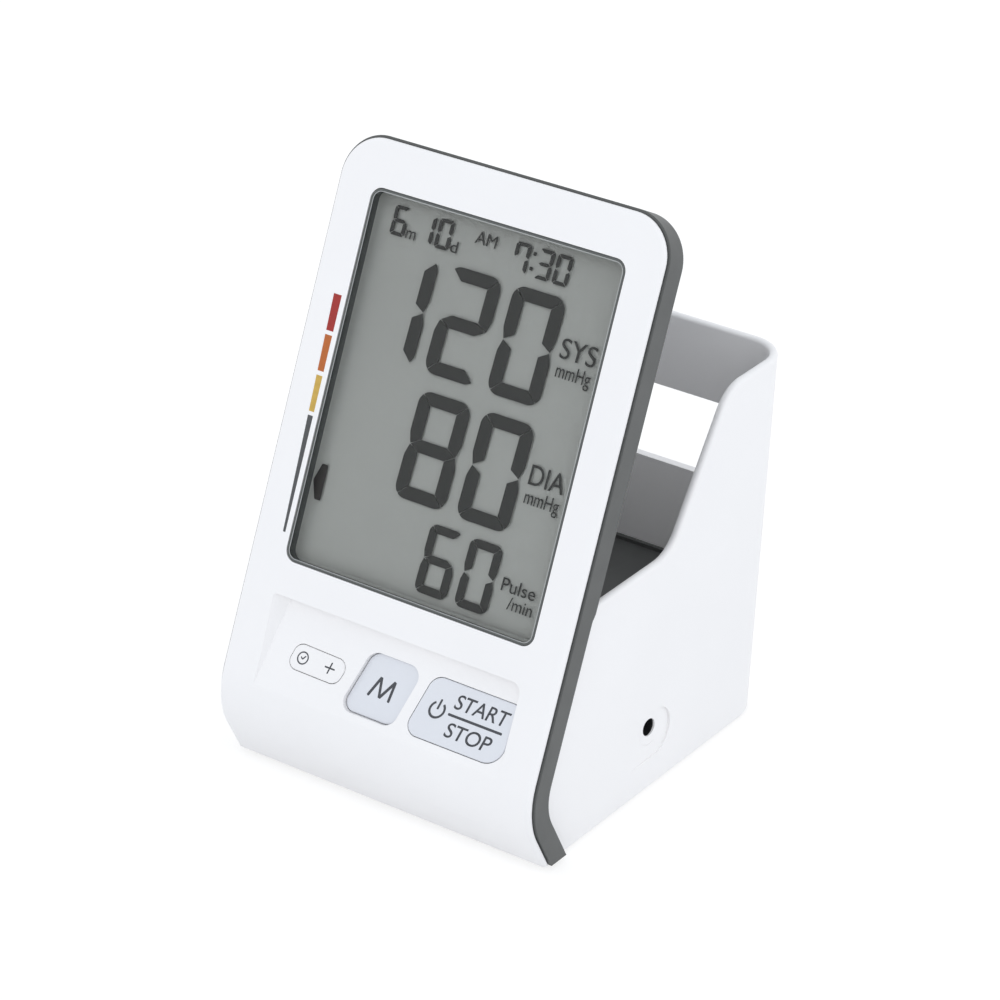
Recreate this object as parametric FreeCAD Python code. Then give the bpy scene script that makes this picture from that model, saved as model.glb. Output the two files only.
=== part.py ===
"""Desktop blood pressure monitor with a cuff cradle behind its leaning display.

Millimetres. X runs to the right, Y to the back and Z up. The origin is on the surface
that the monitor stands on, under the middle of the whole device.

The pieces are drawn in one of two frames and moved to their place at the end:
- case frame: y = 0, z = 0 where the seam plane of the leaning panel meets the underside
  of the base plate
- panel frame: u to the right, v up the slope, n out of the panel, with n = 0 on the seam
  between the front cover and the rear shell
"""
import FreeCAD
import Part

import math
import os

from FreeCAD import Vector

# ---------------------------------------------------------------- driving dimensions
# Leaning panel
panel_width = 104.5
panel_length = 182.0
panel_lean = 23.7
panel_corner = 12.0
toe_radius = 20.0
toe_height = 20.5
toe_tuck = 27.0
toe_clearance = 0.9

# Front cover
cover_wall = 2.2
cover_proud = 1.2
cover_edge = 1.0
skirt_depth = 3.5
skirt_wall = 1.4
skirt_gap = 0.2

# Dark band, head back and storage floor
band_wall = 2.0
band_proud = 0.8
band_depth = 7.2
band_step = 0.8
band_top_draft = 0.6
groove = 0.4
band_edge = 0.15
flange_reach = 6.3
step_height = 78.4
step_slant = 2.4
head_depth = 14.0
head_margin = 5.3
head_top_margin = 2.8
head_draft = 1.2
floor_top = 35.4
floor_wall = 2.2
floor_lip = 1.1
floor_lip_wall = 1.2

# Cradle
cradle_inset = 1.75
cradle_flare = 0.9
cradle_wall = 2.4
cradle_rear_gap = 5.65
cradle_rear_lean = 2.5
cradle_corner = 14.6
cradle_corner_top = 11.5
cradle_top = 108.7
cradle_rim = 1.1
cradle_seam_margin = 23.6
shelf_height = 69.5
shelf_bend_y = 75.0
shoulder_margin = 26.6
shelf_bend = 11.0
shoulder_bend = 12.5
rear_window_margin = 1.9
rear_window_low = 63.1
rear_window_high = 86.2
rear_window_corner = 2.5
port_play = 0.2
ledge_reach = 1.5
ledge_height = 1.5

# Display
window_middle = 0.45
window_margin = 11.0
window_low = 65.15
window_high = 169.15
window_corner = 3.5
lens_thickness = 1.6
lens_sink = 0.1
rim_wall = 0.55
ledge_width = 0.55
display_sink = 2.3
display_thickness = 2.8
reflector_thickness = 0.5
frame_flange = 2.2
frame_wall = 1.4
connector_width = 3.0
connector_margin = 6.25

# Key recess
recess_margin = 10.75
recess_low = 29.4
recess_high = 55.5
recess_depth = 3.2
recess_left_run = 4.0
recess_right_run = 0.4
recess_left_corner = 1.5
recess_right_corner = 3.0
recess_wall = 2.0

# Keys
key_gap = 0.2
start_margin = 0.8
start_rise = 0.2
memory_rise = -1.2
key_edge = 0.4
key_flange = 1.2
key_flange_wall = 1.0
key_flange_drop = 0.3
key_travel = 0.6
key_post_radius = 1.6
pill_rise = 0.2
pill_edge = 0.3
pill_skirt = 0.1
pivot_radius = 1.0
pivot_depth = 4.2
pivot_reach = 2.2
pivot_end_play = 0.35
pivot_play = 0.06
pivot_post_half = 2.2
rocker_switch_spacing = 10.0

# Main board and what it carries
board_thickness = 1.6
board_depth = 8.5
board_margin = 8.25
board_low = 31.5
board_corner = 9.0
chip_height = 1.2
chip_places = [(0, 110, 7, 7), (-22, 118, 3, 4), (18, 92, 3, 3), (-16, 88, 4, 3)]
switch_size = 6.0
switch_height = 3.3
rocker_switch_height = 2.5
button_radius = 1.7
button_seat = 1.0
button_play = 0.15
button_rise = 0.6
rocker_button_rise = 0.3

# Fasteners
boss_radius = 2.2
screw_radius = 1.0
screw_head_radius = 1.9
screw_head = 1.2
thread_play = 0.05
shank_play = 0.2
boss_low_v = 59.9
boss_high_v = 173.7
board_boss_margin = 7.0
case_boss_u = 20.0
post_radius = 3.5
post_tray_gap = 2.6
post_step = 4.0
post_front_y = 35.0
post_rear_margin = 23.6
base_screw_radius = 1.4
base_screw_head_radius = 2.75
base_screw_head = 1.4
base_screw_length = 10.0

# Base
base_wall = 2.4
base_gap = 0.2
foot_radius = 5.0
foot_stand = 1.0
foot_sink = 0.6
foot_edge = 0.6
foot_margin = 9.5
foot_front_y = 27.0
foot_rear_margin = 10.6

# Power
cell_diameter = 14.5
cell_length = 50.5
cell_nub_radius = 2.6
cell_nub = 1.0
cell_edge = 0.6
cell_pitch = 15.2
cell_count = 4
cell_play = 0.35
tray_wall = 1.5
tray_front = 59.8
contact_size = 11.0
contact_thickness = 0.5
spring_reach = 5.5
spring_width = 8.0
door_thickness = 2.2
door_gap = 0.35
hinge_y = 57.4
hinge_pin_radius = 1.0
hinge_pin_length = 1.8
hinge_play = 0.06
latch_width = 14.0
latch_height = 3.6
latch_thickness = 1.1

# Sockets
socket_y = 68.0
socket_z = 18.5
plug_hole_radius = 2.6
plug_pin_radius = 0.85
jack_half = 4.5
jack_tray_gap = 3.3
jack_bore_radius = 2.05
jack_end_wall = 2.5
jack_wall = 1.0
port_radius = 2.4
port_end_wall = 4.0
port_body_radius = 5.0
port_tray_gap = 2.9
dimple_radius = 7.2
dimple_depth = 0.7
dimple_back = 2.3
dimple_drop = 2.3
dimple_run = 15.75
dimple_inner_radius = 5.3
dimple_inner_depth = 1.3
dimple_inner_tilt = 3.5

# Pneumatics
pump_y = 45.0
pump_z = 18.5
motor_radius = 12.0
motor_wall = 0.9
motor_post_gap = 5.0
motor_length = 31.0
rotor_radius = 8.5
rotor_length = 20.0
shaft_radius = 1.0
shaft_play = 0.05
shaft_stub = 2.0
head_half = 12.0
head_length = 26.0
head_wall = 2.0
crank_radius = 5.0
crank_offset = 1.2
crank_length = 6.0
crank_room = 1.0
saddle_half = 9.0
saddle_height = 10.0
saddle_length = 18.0
nozzle_radius = 1.2
nozzle_length = 4.0
tube_radius = 1.9
tube_bore = 1.25
manifold_margin = 10.5
manifold_half = 4.0
manifold_front = 42.5
manifold_length = 10.0
manifold_low = 15.0
manifold_high = 26.0
valve_radius = 5.0
sensor_v = 36.0
sensor_half = 3.5
sensor_height = 4.0
sensor_tube_height = 23.0
buzzer_radius = 4.5
buzzer_height = 5.0
buzzer_hole_radius = 1.0
buzzer_u = 22.0
buzzer_v = 36.4

# ---------------------------------------------------------------- derived places
lean = math.radians(panel_lean)
tuck = math.radians(toe_tuck)
toe_y = (toe_radius + toe_height * math.sin(lean)) / math.cos(lean)
cover_inner = cover_proud - cover_wall
band_half = panel_width / 2 + band_proud
cradle_half = panel_width / 2 - cradle_inset
rear_window_half = cradle_half - cradle_corner - rear_window_margin
window_half = panel_width / 2 - window_margin
connector_half = window_half - connector_margin
recess_half = panel_width / 2 - recess_margin
board_half = panel_width / 2 - board_margin
board_boss_u = board_half - board_boss_margin
foot_x = cradle_half - foot_margin
manifold_x = manifold_margin - cradle_half
skirt_inset = band_wall + skirt_gap - band_proud
floor_under = floor_top - floor_wall
far = 400.0
beyond = 100.0

lens_top = cover_proud - lens_sink
lens_under = lens_top - lens_thickness
display_back = -display_sink - display_thickness
reflector_back = display_back - reflector_thickness
board_back = -board_depth - board_thickness
board_high = boss_high_v + boss_radius + thread_play
head_inner = -head_depth + band_wall

hinge_z = door_thickness
barrel_radius = door_thickness
cell_z = door_thickness + cell_play + base_gap + cell_diameter / 2
tray_length = cell_length + spring_reach + 2 * contact_thickness + cell_play
tray_half = ((cell_count - 1) * cell_pitch + cell_diameter) / 2 + cell_play
tray_outer_half = tray_half + tray_wall
socket_wall_x = cradle_half + socket_z * math.tan(math.radians(cradle_flare))
port_body_length = socket_wall_x - tray_outer_half - port_tray_gap
port_depth = port_body_length - port_end_wall
jack_outer_x = socket_wall_x - cradle_wall - base_gap
jack_length = jack_outer_x - tray_outer_half - jack_tray_gap
jack_bore_depth = jack_length - jack_end_wall
post_rear_x = tray_outer_half + post_radius + post_tray_gap
post_front_x = post_rear_x - post_step
motor_end_x = post_front_x - motor_post_gap
motor_start_x = motor_end_x - motor_length
pump_tube_end = motor_start_x - head_length
pump_tube_length = pump_tube_end - manifold_x - manifold_half
tray_inner_front = tray_front + tray_wall
tray_inner_rear = tray_inner_front + tray_length
tray_roof = cell_z + cell_diameter / 2 + cell_play
door_front = hinge_y - barrel_radius - door_gap
door_rear = tray_inner_rear + tray_wall + latch_thickness + 2 * door_gap

cradle_rear = door_rear + cradle_rear_gap
cradle_seam_y = cradle_rear - cradle_seam_margin
shoulder_bend_y = cradle_rear - shoulder_margin
post_rear_y = cradle_rear - post_rear_margin
foot_rear_y = cradle_rear - foot_rear_margin
front_y = toe_y - toe_radius - cover_proud
rear_y = cradle_rear + cradle_top * math.tan(math.radians(cradle_rear_lean))
front_line_y = -(front_y + rear_y) / 2

# Outlines on the panel, corner by corner from the lower left
window_outline = [
    (window_middle - window_half, window_low),
    (window_middle + window_half, window_low),
    (window_middle + window_half, window_high),
    (window_middle - window_half, window_high),
]
memory_outline = [(-12.6, 32.0), (5.0, 32.0), (9.6, 49.4), (-7.6, 49.4)]
memory_radii = [2.9, 4.2, 3.2, 4.0]
start_right = recess_half - start_margin
start_outline = [(8.9, 32.2), (start_right, 32.2), (start_right, 49.4), (13.5, 49.4)]
start_radii = [3.2, 6.0, 1.2, 4.4]
pill_outline = [(-32.7, 37.4), (-15.5, 37.2), (-13.15, 44.2), (-30.85, 44.65)]
pill_radii = [2.5, 3.3, 2.6, 3.1]


# ---------------------------------------------------------------- drawing helpers
def rounded_wire(corners, radii, height):
    """Closed wire at a height, with each corner rounded by its own radius."""
    count = len(corners)
    entries = []
    middles = []
    exits = []
    for index in range(count):
        corner = Vector(*corners[index], height)
        before = (Vector(*corners[index - 1], height) - corner).normalize()
        after = (Vector(*corners[(index + 1) % count], height) - corner).normalize()
        half_angle = before.getAngle(after) / 2
        inward = (before + after).normalize()
        radius = radii[index]
        reach = radius / math.tan(half_angle)
        entries.append(corner + before * reach)
        middles.append(corner + inward * (radius / math.sin(half_angle) - radius))
        exits.append(corner + after * reach)
    edges = []
    for index in range(count):
        if radii[index] > 0:
            edges.append(Part.Arc(entries[index], middles[index], exits[index]).toShape())
        edges.append(Part.makeLine(exits[index], entries[(index + 1) % count]))
    return Part.Wire(edges)


def grown(corners, by):
    """Corners of the outline that runs outside another one at a distance."""
    count = len(corners)
    result = []
    for index in range(count):
        corner = Vector(*corners[index], 0)
        before = (Vector(*corners[index - 1], 0) - corner).normalize()
        after = (Vector(*corners[(index + 1) % count], 0) - corner).normalize()
        half_angle = before.getAngle(after) / 2
        moved = corner - (before + after).normalize() * (by / math.sin(half_angle))
        result.append((moved.x, moved.y))
    return result


def prism(corners, radii, low, high):
    """Solid with a rounded outline in X and Y, between two heights."""
    face = Part.Face(rounded_wire(corners, radii, low))
    return face.extrude(Vector(0, 0, high - low))


def oblong(half_width, low, high):
    """Four corners of a rectangle that is symmetric about X = 0."""
    return [(-half_width, low), (half_width, low), (half_width, high), (-half_width, high)]


def box(x_low, x_high, y_low, y_high, z_low, z_high):
    """Plain box between six planes."""
    size = (x_high - x_low, y_high - y_low, z_high - z_low)
    return Part.makeBox(*size, Vector(x_low, y_low, z_low))


def rod(radius, start, direction, length):
    """Cylinder from a point along a direction."""
    return Part.makeCylinder(radius, length, Vector(*start), Vector(*direction))


def across(wire, half_width):
    """Solid between X = -half_width and X = half_width, from a wire drawn at X = 0."""
    face = Part.Face(wire)
    face.translate(Vector(-half_width, 0, 0))
    return face.extrude(Vector(2 * half_width, 0, 0))


def joined(shapes):
    """One clean solid from pieces that touch or overlap."""
    whole = shapes[0].fuse(shapes[1:])
    return whole.removeSplitter()


def without(shape, tools):
    """A shape with several tools cut out of it."""
    for tool in tools:
        shape = shape.cut(tool)
    return shape


# ---------------------------------------------------------------- the leaning panel
def on_panel(shape):
    """Carry a shape drawn as u, v, n to the leaning panel in the case frame."""
    placed = shape.copy()
    placed.rotate(Vector(0, 0, 0), Vector(1, 0, 0), 90 - panel_lean)
    return placed


def panel_point(v, n):
    """Point of the case frame at u = 0."""
    y = v * math.sin(lean) - n * math.cos(lean)
    z = v * math.cos(lean) + n * math.sin(lean)
    return Vector(0, y, z)


def profile_points(offset, v_top, foot_z):
    """Side profile of the panel at an offset: top, toe start, nose, toe end and foot."""
    radius = toe_radius + offset
    centre = Vector(0, toe_y, toe_height)
    toe_start = centre + Vector(0, -math.cos(lean), math.sin(lean)) * radius
    nose = centre + Vector(0, -1, 0) * radius
    toe_end = centre + Vector(0, -math.cos(tuck), -math.sin(tuck)) * radius
    foot = Vector(0, toe_end.y + (toe_end.z - foot_z) * math.tan(tuck), foot_z)
    return [panel_point(v_top, offset), toe_start, nose, toe_end, foot]


def profile_edges(points):
    """Straight slope, toe arc and straight tuck."""
    top, toe_start, nose, toe_end, foot = points
    slope = Part.makeLine(top, toe_start)
    toe = Part.Arc(toe_start, nose, toe_end).toShape()
    under = Part.makeLine(toe_end, foot)
    return [slope, toe, under]


def slab(low, high, half_width, v_top):
    """Layer that follows the panel and its toe between two offsets."""
    outer = profile_points(high, v_top, toe_clearance)
    inner = profile_points(low, v_top, toe_clearance)
    ends = [Part.makeLine(outer[-1], inner[-1]), Part.makeLine(inner[0], outer[0])]
    edges = profile_edges(outer) + profile_edges(inner) + ends
    return across(Part.Wire(Part.__sortEdges__(edges)), half_width)


def outline_prism(inset):
    """The panel's outline pulled in by an inset, right through the device."""
    corners = oblong(panel_width / 2 - inset, -far, panel_length - inset)
    radii = [0, 0, panel_corner - inset, panel_corner - inset]
    return on_panel(prism(corners, radii, -far, far))


def panel_layer(low, high, inset):
    """Slab with the panel's rounded outline, pulled in by an inset."""
    whole = slab(low, high, panel_width / 2 - inset, panel_length - inset)
    return whole.common(outline_prism(inset))


def offset_of(point):
    """Offset from the seam profile of a point in the case frame."""
    v = point.y * math.sin(lean) + point.z * math.cos(lean)
    toe_v = toe_y * math.sin(lean) + toe_height * math.cos(lean)
    if v >= toe_v:
        return point.z * math.sin(lean) - point.y * math.cos(lean)
    from_toe = Vector(0, point.y - toe_y, point.z - toe_height)
    down_tuck = from_toe.dot(Vector(0, math.sin(tuck), -math.cos(tuck)))
    if down_tuck >= 0:
        return from_toe.dot(Vector(0, -math.cos(tuck), -math.sin(tuck))) - toe_radius
    return from_toe.Length - toe_radius


def rim_edges(shape, offset, inset):
    """Edges of a panel layer where its sides and top meet the face at an offset."""
    found = []
    half = panel_width / 2 - inset
    for edge in shape.Edges:
        middle = edge.valueAt((edge.FirstParameter + edge.LastParameter) / 2)
        v = middle.y * math.sin(lean) + middle.z * math.cos(lean)
        at_side = abs(abs(middle.x) - half) < 0.01
        at_top = v > panel_length - inset - panel_corner and abs(middle.x) < half
        if abs(offset_of(middle) - offset) < 0.01 and (at_side or at_top):
            found.append(edge)
    return found


# ---------------------------------------------------------------- front cover
def recess_floor(v):
    """Height n of the recess floor at a place up the slope."""
    share = (v - recess_low) / (recess_high - recess_low)
    return cover_proud - recess_depth * share


def cross_section(v, points):
    """Closed wire across the panel at a place up the slope, from points (u, n)."""
    corners = [Vector(u, v, n) for u, n in points]
    return Part.makePolygon(corners + corners[:1])


def recess_tool():
    """What the key recess takes out of the cover's face."""
    over = 1.0
    top = cover_proud + over
    left_slope = recess_left_run / recess_depth
    right_slope = recess_right_run / recess_depth
    shallow = cross_section(recess_low, [
        (-recess_half, top),
        (recess_half, top),
        (recess_half - recess_right_run, cover_proud),
        (-recess_half + recess_right_run, cover_proud),
    ])
    deep = cross_section(recess_high, [
        (-recess_half - left_slope * over, top),
        (recess_half + right_slope * over, top),
        (recess_half - recess_right_run, recess_floor(recess_high)),
        (-recess_half + recess_left_run, recess_floor(recess_high)),
    ])
    wedge = Part.makeLoft([shallow, deep], True, True)
    corners = oblong(recess_half, recess_low - over, recess_high)
    radii = [0, 0, recess_right_corner, recess_left_corner]
    return wedge.common(prism(corners, radii, -far, far))


def recess_pan():
    """Wall that carries the recess behind the cover's face."""
    wide = recess_half + recess_wall
    high = recess_high + recess_wall
    shallow = cross_section(recess_low, [
        (-wide, 0),
        (wide, 0),
        (wide, recess_floor(recess_low) - recess_wall),
        (-wide, recess_floor(recess_low) - recess_wall),
    ])
    deep = cross_section(high, [
        (-wide, 0),
        (wide, 0),
        (wide - recess_right_run, recess_floor(high) - recess_wall),
        (-wide + recess_left_run, recess_floor(high) - recess_wall),
    ])
    return Part.makeLoft([shallow, deep], True, True)


def key_hole(corners, radii):
    """Opening for a key, right through the recess floor."""
    wide_radii = [radius + key_gap for radius in radii]
    return prism(grown(corners, key_gap), wide_radii, -far, far)


def pivot_post(v_low, v_high):
    """Bearing block behind the recess floor for one trunnion of the rocking key."""
    middle, _ = key_middle(pill_outline)
    top = recess_floor(v_high) - recess_wall / 2
    low = -pivot_depth - pivot_radius - pivot_play - band_wall / 2
    block = box(middle - pivot_post_half, middle + pivot_post_half, v_low, v_high, low, top)
    bore = rod(pivot_radius + pivot_play, (middle, v_low, -pivot_depth), (0, 1, 0), v_high - v_low)
    return block.cut(bore)


def pivot_spans():
    """The two stretches along v in which the trunnions run."""
    low = min(v for _, v in pill_outline)
    high = max(v for _, v in pill_outline)
    return [(low - pivot_reach, low - pivot_end_play), (high + pivot_end_play, high + pivot_reach)]


def boss(u, v, low):
    """Screw boss behind the cover, with its pilot hole."""
    column = rod(boss_radius, (u, v, low), (0, 0, 1), -low)
    pilot = rod(screw_radius + thread_play, (u, v, low), (0, 0, 1), -low + cover_inner)
    return column.cut(pilot)


def boss_places(u):
    """Four places, left and right, low and high."""
    return [(side * u, v) for side in (-1, 1) for v in (boss_low_v, boss_high_v)]


def make_front_cover():
    face = panel_layer(0, cover_proud, 0)
    face = face.makeFillet(cover_edge, rim_edges(face, cover_proud, 0))
    lining = panel_layer(cover_inner, 0, skirt_inset)
    skirt = panel_layer(-skirt_depth, 0, skirt_inset).cut(outline_prism(skirt_inset + skirt_wall))
    bosses = [boss(u, v, -board_depth) for u, v in boss_places(board_boss_u)]
    bosses += [boss(u, v, head_inner) for u, v in boss_places(case_boss_u)]
    posts = [pivot_post(low, high) for low, high in pivot_spans()]
    fittings = [on_panel(piece) for piece in [recess_pan()] + bosses + posts]
    cover = joined([face, lining, skirt] + fittings)
    holes = [
        recess_tool(),
        window_prism(0, cover_inner, far),
        key_hole(memory_outline, memory_radii),
        key_hole(start_outline, start_radii),
        key_hole(pill_outline, pill_radii),
    ]
    return without(cover, [on_panel(hole) for hole in holes])


# ---------------------------------------------------------------- display
def window_prism(grow, low, high):
    """The window's outline grown by a distance, between two heights over the seam."""
    corners = grown(window_outline, grow)
    return prism(corners, [window_corner + grow] * 4, low, high)


def make_display_frame():
    rim = window_prism(-skirt_gap, lens_under, lens_top).cut(
        window_prism(-skirt_gap - rim_wall, lens_under, lens_top))
    collar = window_prism(-skirt_gap, -display_sink, lens_under)
    flange = window_prism(frame_flange, -display_sink, cover_inner)
    walls = window_prism(frame_flange, -board_depth, -display_sink).cut(
        window_prism(frame_flange - frame_wall, -board_depth, -display_sink))
    opening = window_prism(-ledge_width, -display_sink, lens_under)
    whole = joined([rim, collar, flange, walls])
    return on_panel(whole.cut(opening))


def make_display_lens():
    return on_panel(window_prism(-skirt_gap - rim_wall - thread_play, lens_under, lens_top))


def make_lcd_panel():
    grow = frame_flange - frame_wall - skirt_gap
    return on_panel(window_prism(grow, display_back, -display_sink))


def make_lcd_reflector():
    sheet = window_prism(0, reflector_back, display_back)
    room = box(-far, far, -far, window_low + 2 * connector_width, -far, far)
    return on_panel(sheet.cut(room))


def make_lcd_connector():
    low = window_low + skirt_gap
    return on_panel(box(window_middle - connector_half, window_middle + connector_half, low,
                        low + connector_width, -board_depth, display_back))


# ---------------------------------------------------------------- keys
def sloping_slab(low, high):
    """Layer parallel with the recess floor, between two heights over it."""
    start = recess_low - recess_wall
    end = recess_high + recess_wall
    corners = [
        Vector(-far, start, recess_floor(start) + low),
        Vector(-far, end, recess_floor(end) + low),
        Vector(-far, end, recess_floor(end) + high),
        Vector(-far, start, recess_floor(start) + high),
    ]
    face = Part.Face(Part.makePolygon(corners + corners[:1]))
    return face.extrude(Vector(2 * far, 0, 0))


def top_edges(shape, rise):
    """Edges of a key's cap that lie in its top face."""
    found = []
    for edge in shape.Edges:
        ends = [edge.valueAt(edge.FirstParameter), edge.valueAt(edge.LastParameter)]
        if all(abs(end.z - recess_floor(end.y) - rise) < 0.001 for end in ends):
            found.append(edge)
    return found


def key_cap(corners, radii, rise):
    """The part of a key that stands in its opening, with softened top edges."""
    bottom = -recess_wall - key_flange_drop - key_flange_wall
    cap = prism(corners, radii, -far, far).common(sloping_slab(bottom, rise))
    return cap.makeFillet(key_edge, top_edges(cap, rise))


def key_middle(corners):
    """Middle of a key's outline."""
    u = sum(corner[0] for corner in corners) / len(corners)
    v = sum(corner[1] for corner in corners) / len(corners)
    return u, v


def button_top():
    """Height of a switch button's top, where the key's post rests on it."""
    return -board_depth + switch_height + button_rise


def push_key(corners, radii, rise):
    """Key that travels straight in: cap, flange behind the recess floor and post."""
    flange_top = -recess_wall - key_flange_drop
    wide_radii = [radius + key_flange for radius in radii]
    wide = prism(grown(corners, key_flange), wide_radii, -far, far)
    flange = wide.common(sloping_slab(flange_top - key_flange_wall, flange_top))
    u, v = key_middle(corners)
    post_top = recess_floor(v) + flange_top - key_flange_wall / 2
    post = rod(key_post_radius, (u, v, button_top()), (0, 0, 1), post_top - button_top())
    return joined([key_cap(corners, radii, rise), flange, post])


def make_memory_key():
    return on_panel(push_key(memory_outline, memory_radii, memory_rise))


def make_start_stop_key():
    return on_panel(push_key(start_outline, start_radii, start_rise))


def make_time_plus_key():
    bottom = -pivot_depth - pivot_radius - pill_skirt
    body = prism(pill_outline, pill_radii, bottom, recess_depth).common(sloping_slab(-far, pill_rise))
    body = body.makeFillet(pill_edge, top_edges(body, pill_rise))
    middle, _ = key_middle(pill_outline)
    low = pivot_spans()[0][0]
    high = pivot_spans()[1][1]
    trunnions = rod(pivot_radius, (middle, low, -pivot_depth), (0, 1, 0), high - low)
    return on_panel(body.fuse(trunnions))


def switch_button(corners):
    """Moving button of the switch under a push key."""
    u, v = key_middle(corners)
    low = button_top() - button_rise - button_seat
    return on_panel(rod(button_radius, (u, v, low), (0, 0, 1), button_top() - low))


def switch_housing(u, v, height):
    """Square switch on the board."""
    half = switch_size / 2
    return box(u - half, u + half, v - half, v + half, -board_depth, -board_depth + height)


def make_key_switches():
    pieces = []
    for corners in (memory_outline, start_outline):
        u, v = key_middle(corners)
        housing = switch_housing(u, v, switch_height)
        depth = button_seat + key_travel + button_play
        top = -board_depth + switch_height
        well = rod(button_radius + button_play, (u, v, top - depth), (0, 0, 1), depth)
        pieces.append(housing.cut(well))
    middle, v = key_middle(pill_outline)
    for side in (-1, 1):
        u = middle + side * rocker_switch_spacing / 2
        housing = switch_housing(u, v, rocker_switch_height)
        top = -board_depth + rocker_switch_height
        button = rod(button_radius, (u, v, top), (0, 0, 1), rocker_button_rise)
        pieces.append(joined([housing, button]))
    return on_panel(Part.makeCompound(pieces))


# ---------------------------------------------------------------- rear shell
def head_bulge(inset, back):
    """Drafted box behind the head, from the back wall to a depth."""
    front = -band_depth + band_wall
    half = band_half - head_margin - inset
    top = panel_length + band_proud - head_top_margin - inset
    corner = panel_corner - inset
    share = (front - back) / (front + head_depth)
    narrow = head_draft * share
    front_wire = rounded_wire(oblong(half, 0, top), [0, 0, corner, corner], front)
    back_wire = rounded_wire(oblong(half - narrow, 0, top - narrow), [0, 0, corner, corner], back)
    return on_panel(Part.makeLoft([front_wire, back_wire], True, True))


def top_draft():
    """What the draft takes off the band's top edge, growing towards its rear."""
    top = panel_length + band_proud
    half = band_half + band_step
    corner = panel_corner + band_proud
    outside = prism(oblong(half, top - 2 * corner, far), [0] * 4, -band_depth, -groove)
    front = rounded_wire(oblong(band_half, 0, top), [0, 0, corner, corner], -groove)
    back = rounded_wire(oblong(band_half, 0, top - band_top_draft), [0, 0, corner, corner], -band_depth)
    kept = Part.makeLoft([front, back], True, True)
    return on_panel(outside.cut(kept))


def step_strip(n_high, play):
    """Strip along the lower part of the band's rear edge, with a slanting upper end."""
    strip = slab(-band_depth - band_step, n_high, beyond, panel_length)
    slant = Part.makePolygon([
        Vector(-far, step_height + play, -band_depth),
        Vector(-far, step_height - step_slant + play, -band_depth + band_step),
        Vector(-far, step_height - step_slant + play, far),
        Vector(-far, -far, far),
        Vector(-far, -far, -far),
        Vector(-far, step_height + play, -far),
        Vector(-far, step_height + play, -band_depth),
    ])
    lower = on_panel(Part.Face(slant).extrude(Vector(2 * far, 0, 0)))
    return strip.common(lower)


def cradle_half_at(z):
    """Outer half-width of the cradle at a height."""
    return cradle_half + z * math.tan(math.radians(cradle_flare))


def cradle_rear_at(z):
    """Outer face of the rear wall at a height."""
    return cradle_rear + z * math.tan(math.radians(cradle_rear_lean))


def cradle_corner_at(z):
    """Outer plan radius of the rear corners at a height."""
    return cradle_corner + (cradle_corner_top - cradle_corner) * z / cradle_top


def cradle_wire(z, inset):
    """Plan of the cradle at a height, pulled in by an inset and open towards the toe."""
    half = cradle_half_at(z) - inset
    rear = cradle_rear_at(z) - inset
    corner = cradle_corner_at(z) - inset
    return rounded_wire(oblong(half, -toe_radius, rear), [0, 0, corner, corner], z)


def cradle_core(inset, low, high):
    """Solid inside the cradle's outer faces, pulled in by an inset."""
    return Part.makeLoft([cradle_wire(low, inset), cradle_wire(high, inset)], True, True)


def front_limit(offset):
    """Everything behind an offset of the panel's profile."""
    points = profile_points(offset, 2 * panel_length, 0)
    top, foot = points[0], points[-1]
    edges = profile_edges(points)
    back_low = Vector(0, far, 0)
    back_high = Vector(0, far, top.z)
    edges.append(Part.makeLine(foot, back_low))
    edges.append(Part.makeLine(back_low, back_high))
    edges.append(Part.makeLine(back_high, top))
    return across(Part.Wire(Part.__sortEdges__(edges)), beyond)


def post_places():
    """The four columns between the storage floor and the base plate."""
    columns = ((post_front_x, post_front_y), (post_rear_x, post_rear_y))
    return [(side * x, y) for side in (-1, 1) for x, y in columns]


def make_rear_shell():
    block = panel_layer(-band_depth, -groove, -band_proud).cut(top_draft())
    edges = rim_edges(block, -band_depth, -band_proud) + rim_edges(block, -groove, -band_proud)
    block = block.makeFillet(band_edge, edges)
    room = slab(-band_depth + band_wall, cover_proud, beyond, 2 * panel_length)
    band = block.cut(room.common(outline_prism(band_wall - band_proud)))
    flange_inner = band_half - flange_reach
    band = band.cut(box(-flange_inner, flange_inner, -far, far, -far, floor_under))
    bulge = head_bulge(0, -head_depth).cut(box(-far, far, -far, far, -far, floor_under))
    floor = cradle_core(cradle_wall + base_gap, floor_under, floor_top)
    floor = floor.common(front_limit(-band_depth + band_wall / 2))
    lip_outer = cradle_core(cradle_wall + base_gap, floor_top, floor_top + floor_lip)
    lip_rear = cradle_rear_at(floor_top) - cradle_wall - base_gap
    lip = lip_outer.common(box(-cradle_half, cradle_half, lip_rear - floor_lip_wall, far, 0, far))
    posts = [rod(post_radius, (x, y, base_wall), (0, 0, 1), floor_under - base_wall)
             for x, y in post_places()]
    shell = joined([band, bulge, floor, lip] + posts)
    pilots = [rod(base_screw_radius + thread_play, (x, y, base_wall), (0, 0, 1), base_screw_length)
              for x, y in post_places()]
    bores = []
    for u, v in boss_places(case_boss_u):
        bore = rod(screw_radius + shank_play, (u, v, -head_depth), (0, 0, 1), band_wall)
        counterbore = rod(screw_head_radius + shank_play, (u, v, -head_depth), (0, 0, 1), screw_head)
        bores += [on_panel(bore), on_panel(counterbore)]
    hollows = [head_bulge(band_wall, head_inner), step_strip(-band_depth + band_step, 0)]
    return without(shell, hollows + pilots + bores)


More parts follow.
